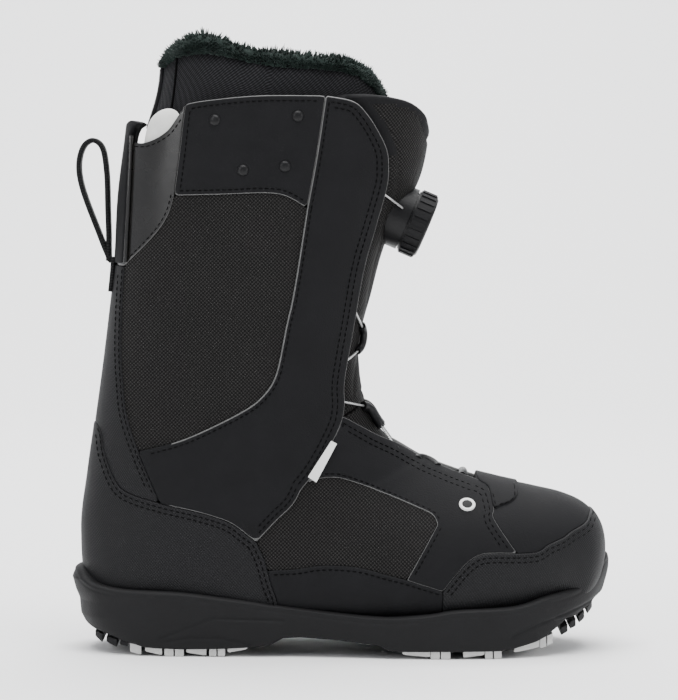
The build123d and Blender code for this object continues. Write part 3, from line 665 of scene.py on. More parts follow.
# %% [markdown]
# ## Sewn panels
# Each panel has its own leather: its height over the last, how round its folded edge is, and its finish.
# Thick overlays stand above the nylon, so light catches their edges and shows how the boot is built up. The rounded
# rims of the flap, band and quarter are also painted pale grey: partly the cut edge's colour, partly painted
# highlight.

# %% Panels
def edge_height(phi, height, radius):
    """Height of a panel over the last at a distance from its edge."""
    t = 1 - np.clip(phi / radius, 0, 1)
    return height - radius * (1 - np.sqrt(1 - t * t))


def panel(name, part, side, height, radius, finish, slot, pale=False, cad=None):
    """Cuts one panel. side is -1 or 1 for the outer or inner half, and 0 for a panel that crosses the middle."""
    phi = inside(BASE[..., [0, 2]].reshape(-1, 2), OUTLINES[part]).reshape(U.shape)
    phi = np.minimum(phi, BASE[..., 2] - np.interp(BASE[..., 0], LIP[:, 0], LIP[:, 1]) + 5)
    if side:
        phi = np.where(np.sin(V) * side > 0.001, phi, np.minimum(phi, -20))
    levels = [radius * share for share in (0.15, 0.45, 1.0)]
    faces, (value, base, normal, cloth) = patch(phi, levels, [BASE, NORMAL, CLOTH])
    if side or finish == "guard":
        turned = {"toe_cap": -1, "heel_counter": 1, "back_stay": 1}.get(part, 0)
        cloth = (base[:, [0, 2]] + turned * np.abs(base[:, [1, 1]]) * (1, 0)) * MM
    rise = edge_height(value, height, radius)
    top = base + normal * rise[:, None]
    under = base - normal * 1.5
    count = len(top)
    whole = two_sided(faces, count)
    marks = None
    # Faces on the rounded top rim, in front of the heel, take the pale edge finish: partly the cut edge's colour,
    # partly painted highlight.
    if pale:
        marks = [int(min(f) < count and value[[i % count for i in f]].max() <= radius * 0.46
                     and base[f[0] % count, 0] > -95) for f in whole]
    points = np.concatenate([top, under])
    return piece(name, points, whole, finish, "boot", [name] if cad is None else cad,
        np.concatenate([cloth, cloth]), True,
                 "edge" if pale else None, marks)


LEATHERS = {
    "shaft_mesh": (1.0, 0.3, "mesh", "mesh_nylon"), "side_mesh": (1.0, 0.3, "mesh", "mesh_nylon"),
    "quarter": (1.7, 0.8, "nubuck", "nubuck"), "side_rand": (1.9, 0.9, "nubuck", "nubuck"),
    "collar_band": (1.9, 1.0, "nubuck", "nubuck"), "cuff_flap": (2.4, 1.3, "nubuck", "nubuck"),
}
MIDDLE = {
    "toe_box": (1.4, 0.5, "nubuck", "nubuck"), "toe_cap": (2.2, 1.1, "guard", "grain"),
    "heel_counter": (2.3, 1.2, "guard", "grain"), "back_stay": (1.8, 0.9, "guard", "grain"),
    "rear_panel": (1.4, 0.5, "gloss", "gloss"),
}
SIDES = {"lateral": -1, "medial": 1}
for part, leather in LEATHERS.items():
    for half, side in SIDES.items():
        panel(f"{part}_{half}", part, side, *leather, pale=part in ("cuff_flap", "collar_band", "quarter"))
for part, leather in MIDDLE.items():
    panel(part, part, 0, *leather)
panel("rear_strip", "rear_strip", 0, 2.3, 0.8, "nubuck", "nubuck", cad=())
panel("vamp_tab", "vamp_tab", 0, 2.5, 0.9, "nubuck", "nubuck", cad=())

# %% [markdown]
# ## Stitches
# Stitches hold every overlay in two rows. Each is a short bead of thread sunk at both ends, and the rows
# follow the seam curves at a fixed distance, as a machine's guide foot keeps them.

# %% Stitch rows
HEIGHT = {part: leather[0] for part, leather in {**LEATHERS, **MIDDLE}.items()} | {"vamp_tab": 2.5}


def beside(part, line, gap):
    """A seam moved a distance into a panel."""
    p = np.array([q for i, q in enumerate(line) if not i or q != line[i - 1]])
    way = np.gradient(p, axis=0)
    way /= np.linalg.norm(way, axis=1)[:, None]
    left = np.stack([-way[:, 1], way[:, 0]], 1)
    mid = len(p) // 2
    sign = 1 if inside([p[mid] + left[mid] * 2], OUTLINES[part])[0] > 0 else -1
    moved = p + left * gap * sign
    return moved[inside(moved, OUTLINES[part]) > gap * 0.8]


def spaced(p, pitch):
    """Points at even steps along a line."""
    steps = np.linalg.norm(np.diff(p, axis=0), axis=1)
    far = np.concatenate([[0], np.cumsum(steps)])
    at = np.arange(0, far[-1], pitch)
    return np.stack([np.interp(at, far, p[:, k]) for k in range(p.shape[1])], 1)


def on_side(xz, rows, side):
    """3-D points of a side view on a fan."""
    y = half_width(xz[:, 0], xz[:, 1], rows)
    return np.stack([xz[:, 0], middle_y(xz[:, 0]) + side * y, xz[:, 1]], 1), y


def beads(starts, ends, up, radius):
    """Little capsules from starts to ends. up points away from the surface."""
    points, faces = [], []
    for a, b, n in zip(starts, ends, up):
        way = (b - a) / np.linalg.norm(b - a)
        wide = np.cross(way, n)
        first = len(points)
        for share, fat, lift in ((0, 0.45, -0.9), (0.14, 0.9, 0.1), (0.5, 1.0, 0.45), (0.86, 0.9, 0.1),
            (1, 0.45, -0.9)):
            centre = a + (b - a) * share + n * lift * radius
            for k in range(6):
                turn = math.pi * k / 3
                points.append(centre + radius * fat * (wide * math.cos(turn) + n * math.sin(turn)))
        for ring in range(4):
            for k in range(6):
                i, j = first + ring * 6 + k, first + ring * 6 + (k + 1) % 6
                faces.append([i, j, j + 6, i + 6])
    return points, faces


SEWN = [
    ("cuff_flap", run("flap_back"), 2.6), ("cuff_flap", run("mesh_front"), 2.6),
    ("cuff_flap", run("flap_front"), 3.0), ("cuff_flap", run("flap_front"), 5.8),
    ("cuff_flap", run("flap_foot"), 2.6), ("cuff_flap", run("flap_foot"), 5.2),
    ("collar_band", run("band_bottom"), 2.6), ("rear_panel", run("rear_top"), 2.0),
    ("collar_band", run("band_back"), 2.6), ("collar_band", run("band_top"), 3.0),
    ("heel_counter", run("counter_top"), 2.4), ("heel_counter", run("counter_top"), 5.0),
    ("heel_counter", run("counter_front"), 2.4), ("heel_counter", run("counter_front"), 5.0),
    ("back_stay", run("stay_front"), 2.2), ("back_stay", run("stay_front"), 4.6),
    ("rear_panel", run("gloss_edge"), 2.2), ("quarter", run("eyestay"), 2.6),
        ("quarter", run("eyestay"), 5.2),
    ("quarter", run("vamp_seam"), 2.2), ("quarter", run("vamp_seam"), 4.8),
        ("quarter", run("side_mesh_top"), 2.2),
    ("quarter", run("side_mesh_front"), 2.2), ("toe_cap", run("cap_top"), 2.2),
        ("toe_cap", run("cap_top"), 4.8),
    ("toe_cap", run("cap_back"), 2.2), ("toe_cap", run("cap_back"), 4.8),
        ("vamp_tab", OUTLINES["vamp_tab"][14:50], 2.0), ("side_rand", run("rand_top"), 2.2),
]


def sew(half, side):
    """All the stitches of one side of the boot."""
    points, faces = [], []
    for part, line, gap in SEWN:
        rows = drawn_in(*[1.5 - HEIGHT[part]] * 3)
        moved = beside(part, line, gap)
        moved = moved[moved[:, 1] > np.interp(moved[:, 0], LIP[:, 0], LIP[:, 1]) - 1]
        if len(moved) < 3:
            continue
        dots = spaced(moved, 1.7)
        at, y = on_side(dots, rows, side)
        ahead = on_side(dots + (0.4, 0), rows, side)[0]
        above = on_side(dots + (0, 0.4), rows, side)[0]
        up = np.cross(above - at, ahead - at) * -side
        up /= np.linalg.norm(up, axis=1)[:, None] + 1e-9
        up *= np.sign(up[:, 1:2]) * side
        keep = [k for k in range(0, len(dots) - 1, 2) if y[k] > 7 and y[k + 1] > 7]
        ends = [at[k] + (at[k + 1] - at[k]) * 1.45 for k in keep]
        p, f = beads(at[keep], ends, up[keep], 0.34)
        faces += [[i + len(points) for i in face] for face in f]
        points += p
    piece(f"stitches_{half}", points, faces, "thread", "boot")
    return len(faces) // 24


for half, side in SIDES.items():
    print("stitches", half, sew(half, side))

# %% [markdown]
# ## Sole
# The sole is one rubber cup. Its wall follows the plan of the foot, rises at heel and toe, and carries
# sculpted lines. It is made as a grid, round the plan one way and up the wall the other, so every ridge is
# a small push of the surface.

# %% Outsole
SOLE_PLAN = np.array([
    (-153, 0), (-149, -19), (-137, -34), (-112, -43.5), (-75, -47), (-35, -48), (0, -52), (42, -57.5),
        (80, -57),
    (106, -51), (128, -40.5), (143, -25), (152, -7), (154, 7), (151, 21), (139, 37.5), (118, 50), (90, 58),
    (50, 58.5), (0, 51), (-35, 48), (-75, 47), (-112, 43.5), (-137, 34), (-149, 19)], float)
SOLE_UNDER = np.array([
    (-153, 15), (-146, 12.5), (-139, 10.5), (-131, 8.4), (-124, 7.0), (-118, 6.4), (-112, 5.2), (-104, 4.3),
    (-90, 3.9), (-75, 4.1), (-60, 4.6), (-48, 5.4),
    (-39.5, 6.6), (-32.2, 10.7), (-22.2, 11.3), (0, 9.8), (21, 7.4), (26.7, 4.6), (35, 4.0), (90, 4.2),
        (97, 5.2), (108, 8.2),
    (119, 11.4), (123, 13.6), (127, 15.0), (133, 17.6), (138, 20.6), (142, 23.4), (146, 26.4), (150, 29.4),
        (154, 32)])
HEEL_SIDE = np.array([(9.5, -139), (13.5, -144.8), (20.5, -148), (29, -148.5), (34, -150.6), (41, -152.8),
    (47.5, -151)])
TOE_SIDE = np.array([(20, 139), (21.8, 145.9), (27.5, 149.3), (45.2, 153.3), (51, 153.9), (58, 152)])
RIDGES = [[(-102, 9.6), (-71, 21.8), (-32, 20.7)], [(-98, 8.5), (-84, 10.7), (-67, 10.7), (-50, 6.8)],
          [(96, 12), (112, 19), (131, 25), (150, 31)]]


def round_plan(count):
    """Smooth closed plan curve of the sole."""
    ring = np.concatenate([SOLE_PLAN[-2:], SOLE_PLAN, SOLE_PLAN[:2]])
    return between(ring, 2 + np.arange(count) / count * len(SOLE_PLAN))


def to_line(p, line):
    """Distance of side-view points to an open line."""
    best = np.full(p.shape[:-1], 1e9)
    for (ax, az), (bx, bz) in zip(line, line[1:]):
        dx, dz = bx - ax, bz - az
        t = np.clip(((p[..., 0] - ax) * dx + (p[..., 1] - az) * dz) / (dx * dx + dz * dz), 0, 1)
        best = np.minimum(best, np.hypot(p[..., 0] - ax - t * dx, p[..., 1] - az - t * dz))
    return best


def make_outsole():
    plan = round_plan(640)
    tangent = np.roll(plan, -1, 0) - np.roll(plan, 1, 0)
    tangent /= np.linalg.norm(tangent, axis=1)[:, None]
    out = np.stack([tangent[:, 1], -tangent[:, 0]], 1)
    low = np.interp(plan[:, 0], SOLE_UNDER[:, 0], SOLE_UNDER[:, 1])
    high = np.interp(plan[:, 0], LIP[:, 0], LIP[:, 1])
    rings = []
    for share in np.linspace(0, 1, 56):
        z = low + (high - low) * share
        push = 0.7 * math.sin(math.pi * share) - 1.4 * max(0, 1 - share / 0.05) ** 2 - 1.2 * max(0,
            (share - 0.95) / 0.05) ** 2
        x, y = plan[:, 0] + out[:, 0] * push, plan[:, 1] + out[:, 1] * push
        back, front = np.interp(z, *HEEL_SIDE.T), np.interp(z, *TOE_SIDE.T)
        x = np.where(x < -110, -110 - (-110 - x) * (-110 - back) / 43, x)
        x = np.where(x > 110, 110 + (x - 110) * (front - 110) / 44, x)
        flat = np.stack([x, z], -1)
        dip = sum(0.7 * np.exp(-(to_line(flat, line) / 0.9) ** 2) for line in RIDGES)
        dip = dip + 0.22 * np.exp(-((high - z - 3.2) / 0.8) ** 2)
        rings.append(np.stack([x - out[:, 0] * dip, y - out[:, 1] * dip, z], -1))
    for draw, drop in ((0.6, 0.35), (2.0, 0.5), (5.0, 0.3), (11.0, -2.0)):
        rings.append(rings[55] + np.stack([-out[:, 0] * draw, -out[:, 1] * draw, np.full(len(out), drop)],
            -1))
    centre = middle_y(rings[0][:, 0])
    floor_ring = rings[0]
    for share in (0.97, 0.9, 0.75, 0.5, 0.25, 0.0):
        ring = floor_ring.copy()
        ring[:, 1] = centre + (floor_ring[:, 1] - centre) * share
        rings.insert(0, ring)
    points = np.concatenate(rings)
    n, faces = len(plan), []
    for r in range(len(rings) - 1):
        for k in range(n):
            faces.append([r * n + k, r * n + (k + 1) % n, (r + 1) * n + (k + 1) % n, (r + 1) * n + k])
    return piece("outsole", points, faces, "rubber", "boot", ["outsole"])


outsole = make_outsole()
print("outsole faces", len(outsole.data.polygons))

# %% [markdown]
# ## Tread
# Under the cup sit rows of pale blocks, some of which reach the floor, and black lugs where the sole curls
# up at heel and toe. Each block follows the sole's plan, has soft edges, and leaves a groove along the
# middle.

# %% Tread blocks
TREAD_INSET = 1.0
plan_now = round_plan(640)
EDGE_OUT = {side: np.array(sorted(tuple(p) for p in plan_now[plan_now[:, 1] * side > 0])) for side in (-1, 1)}


def block(points, faces, x0, x1, low0, low1, side, inset):
    """Adds a rubber block under one half of the sole; low0 and low1 are the heights of its underside."""
    first = len(points)
    xs = np.linspace(x0, x1, 9)
    for i, x in enumerate(xs):
        along = x + np.sign(x) * np.interp(abs(x), [100, 130], [0, 9])
        edge = np.interp(along, EDGE_OUT[side][:, 0], EDGE_OUT[side][:, 1])
        near = middle_y(x) + side * 1.8
        far = near + side * max(1.5, (edge - near) * side - inset)
        top = np.interp(x, SOLE_UNDER[:, 0], SOLE_UNDER[:, 1]) + 1.0
        low = low0 + (low1 - low0) * i / (len(xs) - 1) + 0.3 * (i in (0, len(xs) - 1))
        soft = 0.5 * side
        for y, z in ((near, top), (far, top), (far, low + 0.6), (far - soft, low), (near + soft, low),
            (near, low + 0.6)):
            points.append((x, y, z))
    for r in range(len(xs) - 1):
        for k in range(6):
            a, b = first + r * 6 + k, first + r * 6 + (k + 1) % 6
            faces.append([a, b, b + 6, a + 6][::side])
    faces.append([first + k for k in range(6)][::-side])
    faces.append([first + (len(xs) - 1) * 6 + k for k in range(6)][::side])


TREADS = {
    "heel_tread": ("pale_rubber", [
        (-118.2, -111.8, 2.0, 0.7), (-109.5, -100, 2.6, 0.7), (-98.6, -93.5, 0.1, 0), (-92.7, -87.8, 0, 0),
        (-86.2, -75, 2.3, 0.7), (-73.4, -69.4, 0.3, 0.3), (-68.6, -64.6, 0.3, 0.3), (-63, -52, 2.4, 4.4)]),
    "forefoot_tread": ("pale_rubber", [
        (35, 50.3, 2.6, 1.3), (50.6, 55.6, 0, 0), (56.3, 61.5, 0, 0), (68.8, 80.6, 1.0, 2.4),
        (81, 85.2, 0, 0), (86, 90.2, 0, 0), (97.4, 111.8, 3.4, 5.6), (112.2, 115.6, 4.8, 5.6), (116.3, 119.5, 5.9, 7.0)]),
    "edge_lugs": ("rubber", [
        (-139, -134.5, 8.4, 5.6), (-132, -126, 6.4, 4.0), (-124, -119.5, 5.4, 5.0),
        (124.5, 128.5, 11.0, 12.4), (130, 133.5, 13.6, 14.6), (135.5, 139, 16.0, 18.0), (141, 144.5, 19.8, 22.4)]),
}
for name, (finish, blocks) in TREADS.items():
    points, faces = [], []
    for x0, x1, low0, low1 in blocks:
        for side in (-1, 1):
            block(points, faces, x0, x1, low0, low1, side, TREAD_INSET)
    piece(name, points, faces, finish, "boot", () if name == "edge_lugs" else [name], None,
        smooth=False)
    print(name, len(blocks) * 2, "blocks")

# %% [markdown]
# ## Tongue, gussets and pads
# These are soft closed forms: an outer and an inner skin that meet at a rounded edge, with foam between.
# The tongue's top is thick padding; lower down it thins to fit under the flaps.

# %% Stuffed pieces
FRONT = [33, 31, 27, 20, 12, 9.5, 9.5]
BACK = [18, 17, 12, 5.4, 5, 5, 5]
TONGUE_OUT = drawn_in(3.4, 3.4, 6.2, 2.0)
TONGUE_IN = drawn_in([26, 25, 20, 14, 9, 8, 8], 8.2, 8.2, 2.0)
FOLD = np.array([15.5, 141.0])
FOLD_WAY = np.array([-0.87, -0.50])


def stuffed(name, outline, outer, inner, radius, finish, body, cad, side=0, seams=(), bound=None,
            half_limit=None):
    """A padded piece between two fans, inside a side outline. seams are distances from its edge."""
    far, near = fan(outer, U, V), fan(inner, U, V)
    phi = inside(far[..., [0, 2]].reshape(-1, 2), outline).reshape(U.shape)
    if side:
        phi = np.where(np.sin(V) * side > 0.001, phi, np.minimum(phi, -20))
    if half_limit:
        phi = np.minimum(phi, half_limit - np.abs(far[..., 1]))
    faces, (value, a, b, cloth) = patch(phi, [radius * s for s in (0.03, 0.12, 0.3, 0.6, 1)],
        [far, near, CLOTH])
    t = 1 - np.clip(value / radius, 0, 1)
    meet = (0.5 * (1 - np.sqrt(1 - t * t)))[:, None]
    top, under = a + (b - a) * meet, b + (a - b) * meet
    away = (a - b) / np.linalg.norm(a - b, axis=1)[:, None]
    for seam in seams:
        top = top - away * (0.9 * np.exp(-((value - seam) / 0.8) ** 2))[:, None]
    count = len(top)
    whole = two_sided(faces, count)
    marks = [int(bound(value[[i % count for i in f]].mean(), *top[[i % count for i in f]].mean(0))) for f in
             whole] if bound else None
    thing = piece(name, np.concatenate([top, under]), whole, finish, body, cad,
        np.concatenate([cloth, cloth]),
                  True, "nubuck" if bound else None, marks)
    return thing


flap_line = run("flap_front", 1, 11)
edge_line = [(x + 0.6, z) for x, z in flap_line]


def on_fold(x, lower=0.0):
    """Point of the fold line at x, moved straight down."""
    return (x, FOLD[1] + FOLD_WAY[1] / FOLD_WAY[0] * (x - FOLD[0]) - lower)


crown = between(np.array([(60, 288), (53.6, 296), (50.6, 304.6), (43, 311.2), (33.6, 314), (20, 315.5),
    (8, 315)],
                          float), np.linspace(0, 6, 43))
tongue_outline = edge_line + [on_fold(1.0), tuple(FOLD), on_fold(41.6), (90, 230)] + [tuple(p) for p in crown]


def tongue_binding(gap, x, y, z):
    """True where the tongue's edge is bound, and on the band down its middle."""
    return gap < 5.5 and z > 280 or abs(y) < 6


stuffed("tongue", tongue_outline, TONGUE_OUT, TONGUE_IN, 3.0, "tongue", "tongue", ["tongue"],
                 seams=(6.2,), bound=tongue_binding)
base_outline = [on_fold(41.6, 0.6), on_fold(-14, 0.6), (-14, 112), (5, 111), (30, 99), (77, 84), (79.5, 92),
                (90, 110), (70, 140)]
stuffed("tongue_base", base_outline, TONGUE_OUT, TONGUE_IN, 1.5, "tongue", "boot", ["tongue_base"])
gusset_outline = run("flap_front", 2, 11) + [on_fold(0.5, -0.1), on_fold(-14, -0.1), (-14, 150), (-10, 185),
                                             (-4, 218), (2, 240), (8, 264), (9, 275), (7, 290), (0, 304)]
for half, side in SIDES.items():
    stuffed(f"gusset_{half}", gusset_outline, TONGUE_OUT, TONGUE_IN, 1.0, "tongue", "boot",
        [f"gusset_{half}"],
            side)
ear = [tuple(p) for p in between(np.array([(-112, 262), (-112, 276), (-111.5, 290), (-108, 301),
    (-101, 306.5),
                                           (-93.5, 306), (-89, 298), (-87.5, 284), (-88, 262)], float),
                                 np.linspace(0, 8, 49))]
for half, side in SIDES.items():
    stuffed(f"cuff_pad_{half}", ear, drawn_in(3.2, 3.2, 3.2), drawn_in(7.0, 7.0, 7.4), 5.0, "foam", "boot",
            [f"cuff_pad_{half}"], side)
stuffed("liner_back_strip", [(-170, 296), (-170, 330.5), (-60, 330.5), (-60, 296)],
        drawn_in(FRONT, [g - 1.6 for g in BACK], 8.6, 2.0), drawn_in(FRONT, [g + 0.4 for g in BACK], 8.9,
            2.0), 0.8,
        "nubuck", "boot", ["liner_back_strip"], half_limit=11)
print("stuffed pieces done")

# %% [markdown]
# ## Liner
# Inside the shell sits a complete soft boot: twill outside, brushed lining inside, a footbed, and a fur
# collar at its top. It is an outer and an inner grid that run from the collar to the toe.

# %% Liner walls
FUR_LOW = np.array([(-170, 331), (-99.2, 331), (-91.8, 336), (-78, 338.5), (-65, 336.5), (-45.6, 332),
    (-38.2, 330.5),
                    (-0.3, 328.5), (9.1, 326), (17.7, 319.5), (23.4, 312), (60, 300)])
FUR_TOP = np.array([(-170, 337), (-120, 337), (-100.5, 337.6), (-90, 345), (-81.2, 349.5), (-69, 348.6),
    (-57, 342.1),
                    (-28.5, 338.2), (1.7, 335.9), (10.8, 332.5), (18.8, 326.8), (24, 319.5), (28, 311),
                        (60, 300)])


def liner_rows(inward):
    """The liner's outer face drawn in by a depth."""
    return drawn_in([g + inward for g in FRONT], [g + inward for g in BACK], 8.8 + inward, 2.0)


def start_row(rows, v, line, drop=0.0):
    """Row number where a fan's columns cross a level line."""
    us = np.linspace(-0.0, 6, 400)
    found = []
    for angle in v:
        p = fan(rows, us, np.full(us.shape, angle))
        above = p[:, 2] - np.interp(p[:, 0], line[:, 0], line[:, 1]) + drop
        k = int(np.argmax(above < 0))
        found.append(us[k])
    return np.array(found)


def sock(rows, first, last, steps, around):
    """Grid points of a tube from starting rows to a last row."""
    t = np.linspace(0, 1, steps)[:, None]
    u = first[None, :] + (last - first[None, :]) * t
    return fan(rows, u, np.broadcast_to(around, u.shape)), u


def tube_faces(rings, around, flip=False):
    faces = []
    for r in range(rings - 1):
        for k in range(around):
            f = [r * around + k, r * around + (k + 1) % around, (r + 1) * around + (k + 1) % around,
                (r + 1) * around + k]
            faces.append(f[::-1] if flip else f)
    return faces


ring_v = np.linspace(0, 2 * math.pi, 176, endpoint=False)


def cloth_of(p):
    """Lengths along a grid of points, in metres."""
    across = np.cumsum(np.linalg.norm(np.roll(p, -1, 1) - p, axis=-1), axis=1)
    down = np.cumsum(np.linalg.norm(np.diff(p, axis=0, prepend=p[:1]), axis=-1), axis=0)
    return np.stack([across, down], -1).reshape(-1, 2) * MM


def liner_wall(name, outer, inner, first_line, last, finish, drop, body="boot"):
    """A closed wall: its outer and inner face, joined at the top, and closed at the toe."""
    a, _ = sock(outer, start_row(outer, ring_v, first_line, drop), last, 90, ring_v)
    b, _ = sock(inner, start_row(inner, ring_v, first_line, drop), last - 0.4, 90, ring_v)
    n = len(ring_v)
    points = np.concatenate([a.reshape(-1, 3), b.reshape(-1, 3)])
    faces = tube_faces(90, n) + [[i + 90 * n for i in f] for f in tube_faces(90, n, True)]
    for k in range(n):
        j = (k + 1) % n
        faces.append([k, 90 * n + k, 90 * n + j, j])
    for start in (89 * n, 179 * n):
        centre = len(points)
        points = np.concatenate([points, points[start:start + n].mean(0)[None]])
        faces += [[start + k, start + (k + 1) % n, centre] for k in range(n)]
    cloth = np.concatenate([cloth_of(a), cloth_of(b), np.zeros((2, 2))])
    thing = piece(name, points, faces, finish, body, [name], cloth)
    return thing


liner_wall("liner_shell", liner_rows(0), liner_rows(4.6), FUR_LOW, 21.2, "twill", -2.0)
liner_wall("liner_lining", liner_rows(5.0), liner_rows(8.0), FUR_LOW, 20.6, "fleece", -4.0)
print("liner walls done")

# %% Footbed
def make_footbed():
    """An insole with a raised edge, cut to the inside of the liner."""
    xs = np.linspace(-118, 112, 90)
    top = np.interp(xs, [-125, -95, -50, 10, 60, 100, 125], [45, 36.5, 32.5, 30, 30, 34.5, 43])
    half = half_width(xs, top, liner_rows(9.5))
    points, faces = [], []
    shares = np.linspace(-1, 1, 25)
    for x, z, w in zip(xs, top, half):
        for s in shares:
            points.append((x, middle_y(x) + s * w, z + 1.2 * abs(s) ** 4 - 3 * (abs(s) > 0.999)))
    for r in range(len(xs) - 1):
        for k in range(24):
            faces.append([r * 25 + k, r * 25 + k + 1, (r + 1) * 25 + k + 1, (r + 1) * 25 + k])
    count = len(points)
    points = np.array(points)
    return piece("footbed", np.concatenate([points, points - (0, 0, 4)]), two_sided(faces, count), "fleece",
        "boot",
                 ["footbed"])


make_footbed()
print("footbed done")

# %% [markdown]
# ## Fur collar
# The collar is plush: a soft rolled rim covered with thousands of short tufts that lean in clumps. Real
# hair strands can't be exported, so each tuft is a small bent cone, and their tips break the outline as fur
# does.

# %% Fur
FUR = Finish("plush_fur", (0.005, 0.010, 0.008), 0.85, Sheen_Weight=0.08, Sheen_Roughness=0.4,
    Specular_IOR_Level=0.15)
FUR.set("Base Color", FUR.blend(FUR.cloud(90, 4), (0.004, 0.0075, 0.0065), (0.019, 0.032, 0.027)))
FUR.set("Roughness", 0.75 + FUR.cloud(200, 2) * 0.2)
FUR.bump(FUR.cloud(1400, 3), 0.0006, 0.9)
finishes["fur"] = FUR


def make_fur():
    """The rolled rim and its tufts as one mesh."""
    random.seed(7)
    outer, inner = liner_rows(0), liner_rows(9.5)
    n = len(ring_v)
    low_u = start_row(outer, ring_v, FUR_LOW)
    rim_u = start_row(outer, ring_v, FUR_TOP, 4.0)
    rim_in = start_row(inner, ring_v, FUR_TOP, 4.0)
    rings = []
    for t in np.linspace(0, 1, 6):
        rings.append(fan(outer, low_u + (rim_u - low_u) * t, ring_v))
    middle = fan(liner_rows(4.5), np.maximum(0, (rim_u + rim_in) / 2), ring_v) + (0, 0, 2.5)
    rings.append((rings[-1] + middle) / 2 + (0, 0, 1.5))
    rings.append(middle + (0, 0, 0.8))
    inside_top = fan(inner, rim_in, ring_v)
    rings.append((inside_top + middle) / 2 + (0, 0, 1.5))
    for t in np.linspace(0, 1, 14):
        rings.append(fan(inner, rim_in + (np.full(n, 3.2) - rim_in) * t, ring_v))
    grid = np.stack(rings)
    ease = np.array([noise.noise(Vector(p) * 0.12) for p in grid.reshape(-1, 3)]).reshape(grid.shape[:2])
    way_u = np.gradient(grid, axis=0)
    way_v = np.roll(grid, -1, 1) - np.roll(grid, 1, 1)
    up = np.cross(way_v, way_u)
    up /= np.linalg.norm(up, axis=-1)[..., None] + 1e-9
    if up[2, n // 4, 1] < 0:
        up = -up
    grid = grid + up * (0.8 * ease)[..., None]
    points = list(grid.reshape(-1, 3))
    faces = tube_faces(len(rings), n)
    for _ in range(12500):
        r = random.random() ** 1.25 * (len(rings) - 1.01)
        k = random.random() * n
        i, j = int(r), int(k)
        part_r, part_k = r - i, k - j
        j1 = (j + 1) % n
        at = ((grid[i, j] * (1 - part_k) + grid[i, j1] * part_k) * (1 - part_r) + (grid[i + 1,
            j] * (1 - part_k) + grid[i + 1, j1] * part_k) * part_r)
        out = up[i, j]
        clump = Vector(at) * 0.10
        lean = np.array([noise.noise(clump), noise.noise(clump + Vector((9, 0, 0))),
            noise.noise(clump + Vector((0, 9, 0)))])
        lean = lean * 0.8 + np.array([random.gauss(0, 0.16) for _ in range(3)]) + (0, 0,
            0.15 if r < 9 else -0.3)
        long = random.uniform(2.6, 3.8) if r < 10 else random.uniform(3.2, 4.8)
        wide = random.uniform(0.5, 0.95)
        side = np.cross(out, lean + 1e-3)
        side /= np.linalg.norm(side) + 1e-9
        third = np.cross(out, side)
        start = len(points)
        for share, fat in ((0, 1.0), (0.5, 0.75)):
            centre = at + out * long * share * 0.8 + lean * long * share * share * 0.9 - out * 0.4
            for turn in (0, 2.1, 4.2):
                points.append(centre + wide * fat * (side * math.cos(turn) + third * math.sin(turn)))
        points.append(at + out * long * 0.85 + lean * long * 0.8)
        for a in range(3):
            b = (a + 1) % 3
            faces.append([start + a, start + b, start + 3 + b, start + 3 + a])
            faces.append([start + 3 + a, start + 3 + b, start + 6])
    thing = piece("liner_fur_collar", points, faces, "fur", "boot", ["liner_fur_collar"])
    return thing


fur = make_fur()
print("fur faces", len(fur.data.polygons))

# %% [markdown]
# ## Steel lace
# The lace is one nylon-coated steel rope. It leaves the dial on both sides, zigzags through guides on the
# flaps, the tongue and the quarters, and turns round at the toe. Straight runs join soft bends, and runs
# that cross the fold of the tongue are attached to no body.

# %% Lace route
DIAL_AT = np.array([34.0, 0.0, 246.5])
DIAL_X, DIAL_Y, DIAL_Z = np.array([0, 1, 0]), np.array([0.392, 0, 0.92]), np.array([0.92, 0, -0.392])


def lifted(h):
    return drawn_in(3.4 - h, 3.4 - h, 6.2 - h, 2.0)


def at_side(x, z, h, side):
    return on_side(np.array([[x, z]], float), lifted(h), side)[0][0]


def in_front(u, y, h, side):
    fx, fz, bx, bz, w, share, nf, nb = between(lifted(h), np.array([u]))[0]
    way = share + (1 - share) * (1 - (y / w) ** nf) ** (1 / nf)
    x = bx + (fx - bx) * way
    return np.array([x, middle_y(x) + side * y, bz + (fz - bz) * way])


def in_quarter(x, z, side):
    return on_side(np.array([[x, z]], float), drawn_in(1.5, 1.5, 1.5), side)[0][0]


def strand(side):
    """Corners of the lace on one side, in groups, one for each guide from the dial to the toe."""
    groups = [
        [DIAL_AT + DIAL_X * side * 12.4 + DIAL_Y * 4.0 + DIAL_Z * 3.2],
        [at_side(x, z, 1.9, side) for x, z in [(19, 263.5), (12.5, 254), (7.5, 234), (4, 213), (5.5, 200)]],
        [in_front(u, 7.5, 2.1, side) for u in (5.6, 5.86)],
        [at_side(x, z, 1.9, side) for x, z in [(-1, 161.5), (-3, 152), (-1.2, 142.8)]],
        [in_front(u, 8, 2.6, side) for u in (7.35, 7.95)],
        [in_quarter(x, z, side) for x, z in [(36, 109.5), (42.5, 106.5)]],
        [in_front(u, 7, 2.8, side) for u in (10.15, 11.25)],
        [in_quarter(x, z, side) for x, z in [(61, 97.6), (67, 95.6)]],
        [in_front(13.6, 7.5, 2.3, side)],
    ]
    corners, holders = [], []
    for k, group in enumerate(groups):
        corners += group
        holders += [k] * len(group)
        if k < 4:
            m = (group[-1] + groups[k + 1][0]) / 2
            corners.append(at_side(m[0], m[2], 1.6, side))
            holders.append(-1)
    return corners, holders


def bend_radius(a, b, c):
    cosine = np.dot(b - a, c - b) / np.linalg.norm(b - a) / np.linalg.norm(c - b)
    turn = math.acos(max(-1, min(1, cosine)))
    return min(14.0, 0.45 * min(np.linalg.norm(b - a), np.linalg.norm(c - b)) / math.tan(turn / 2)), turn


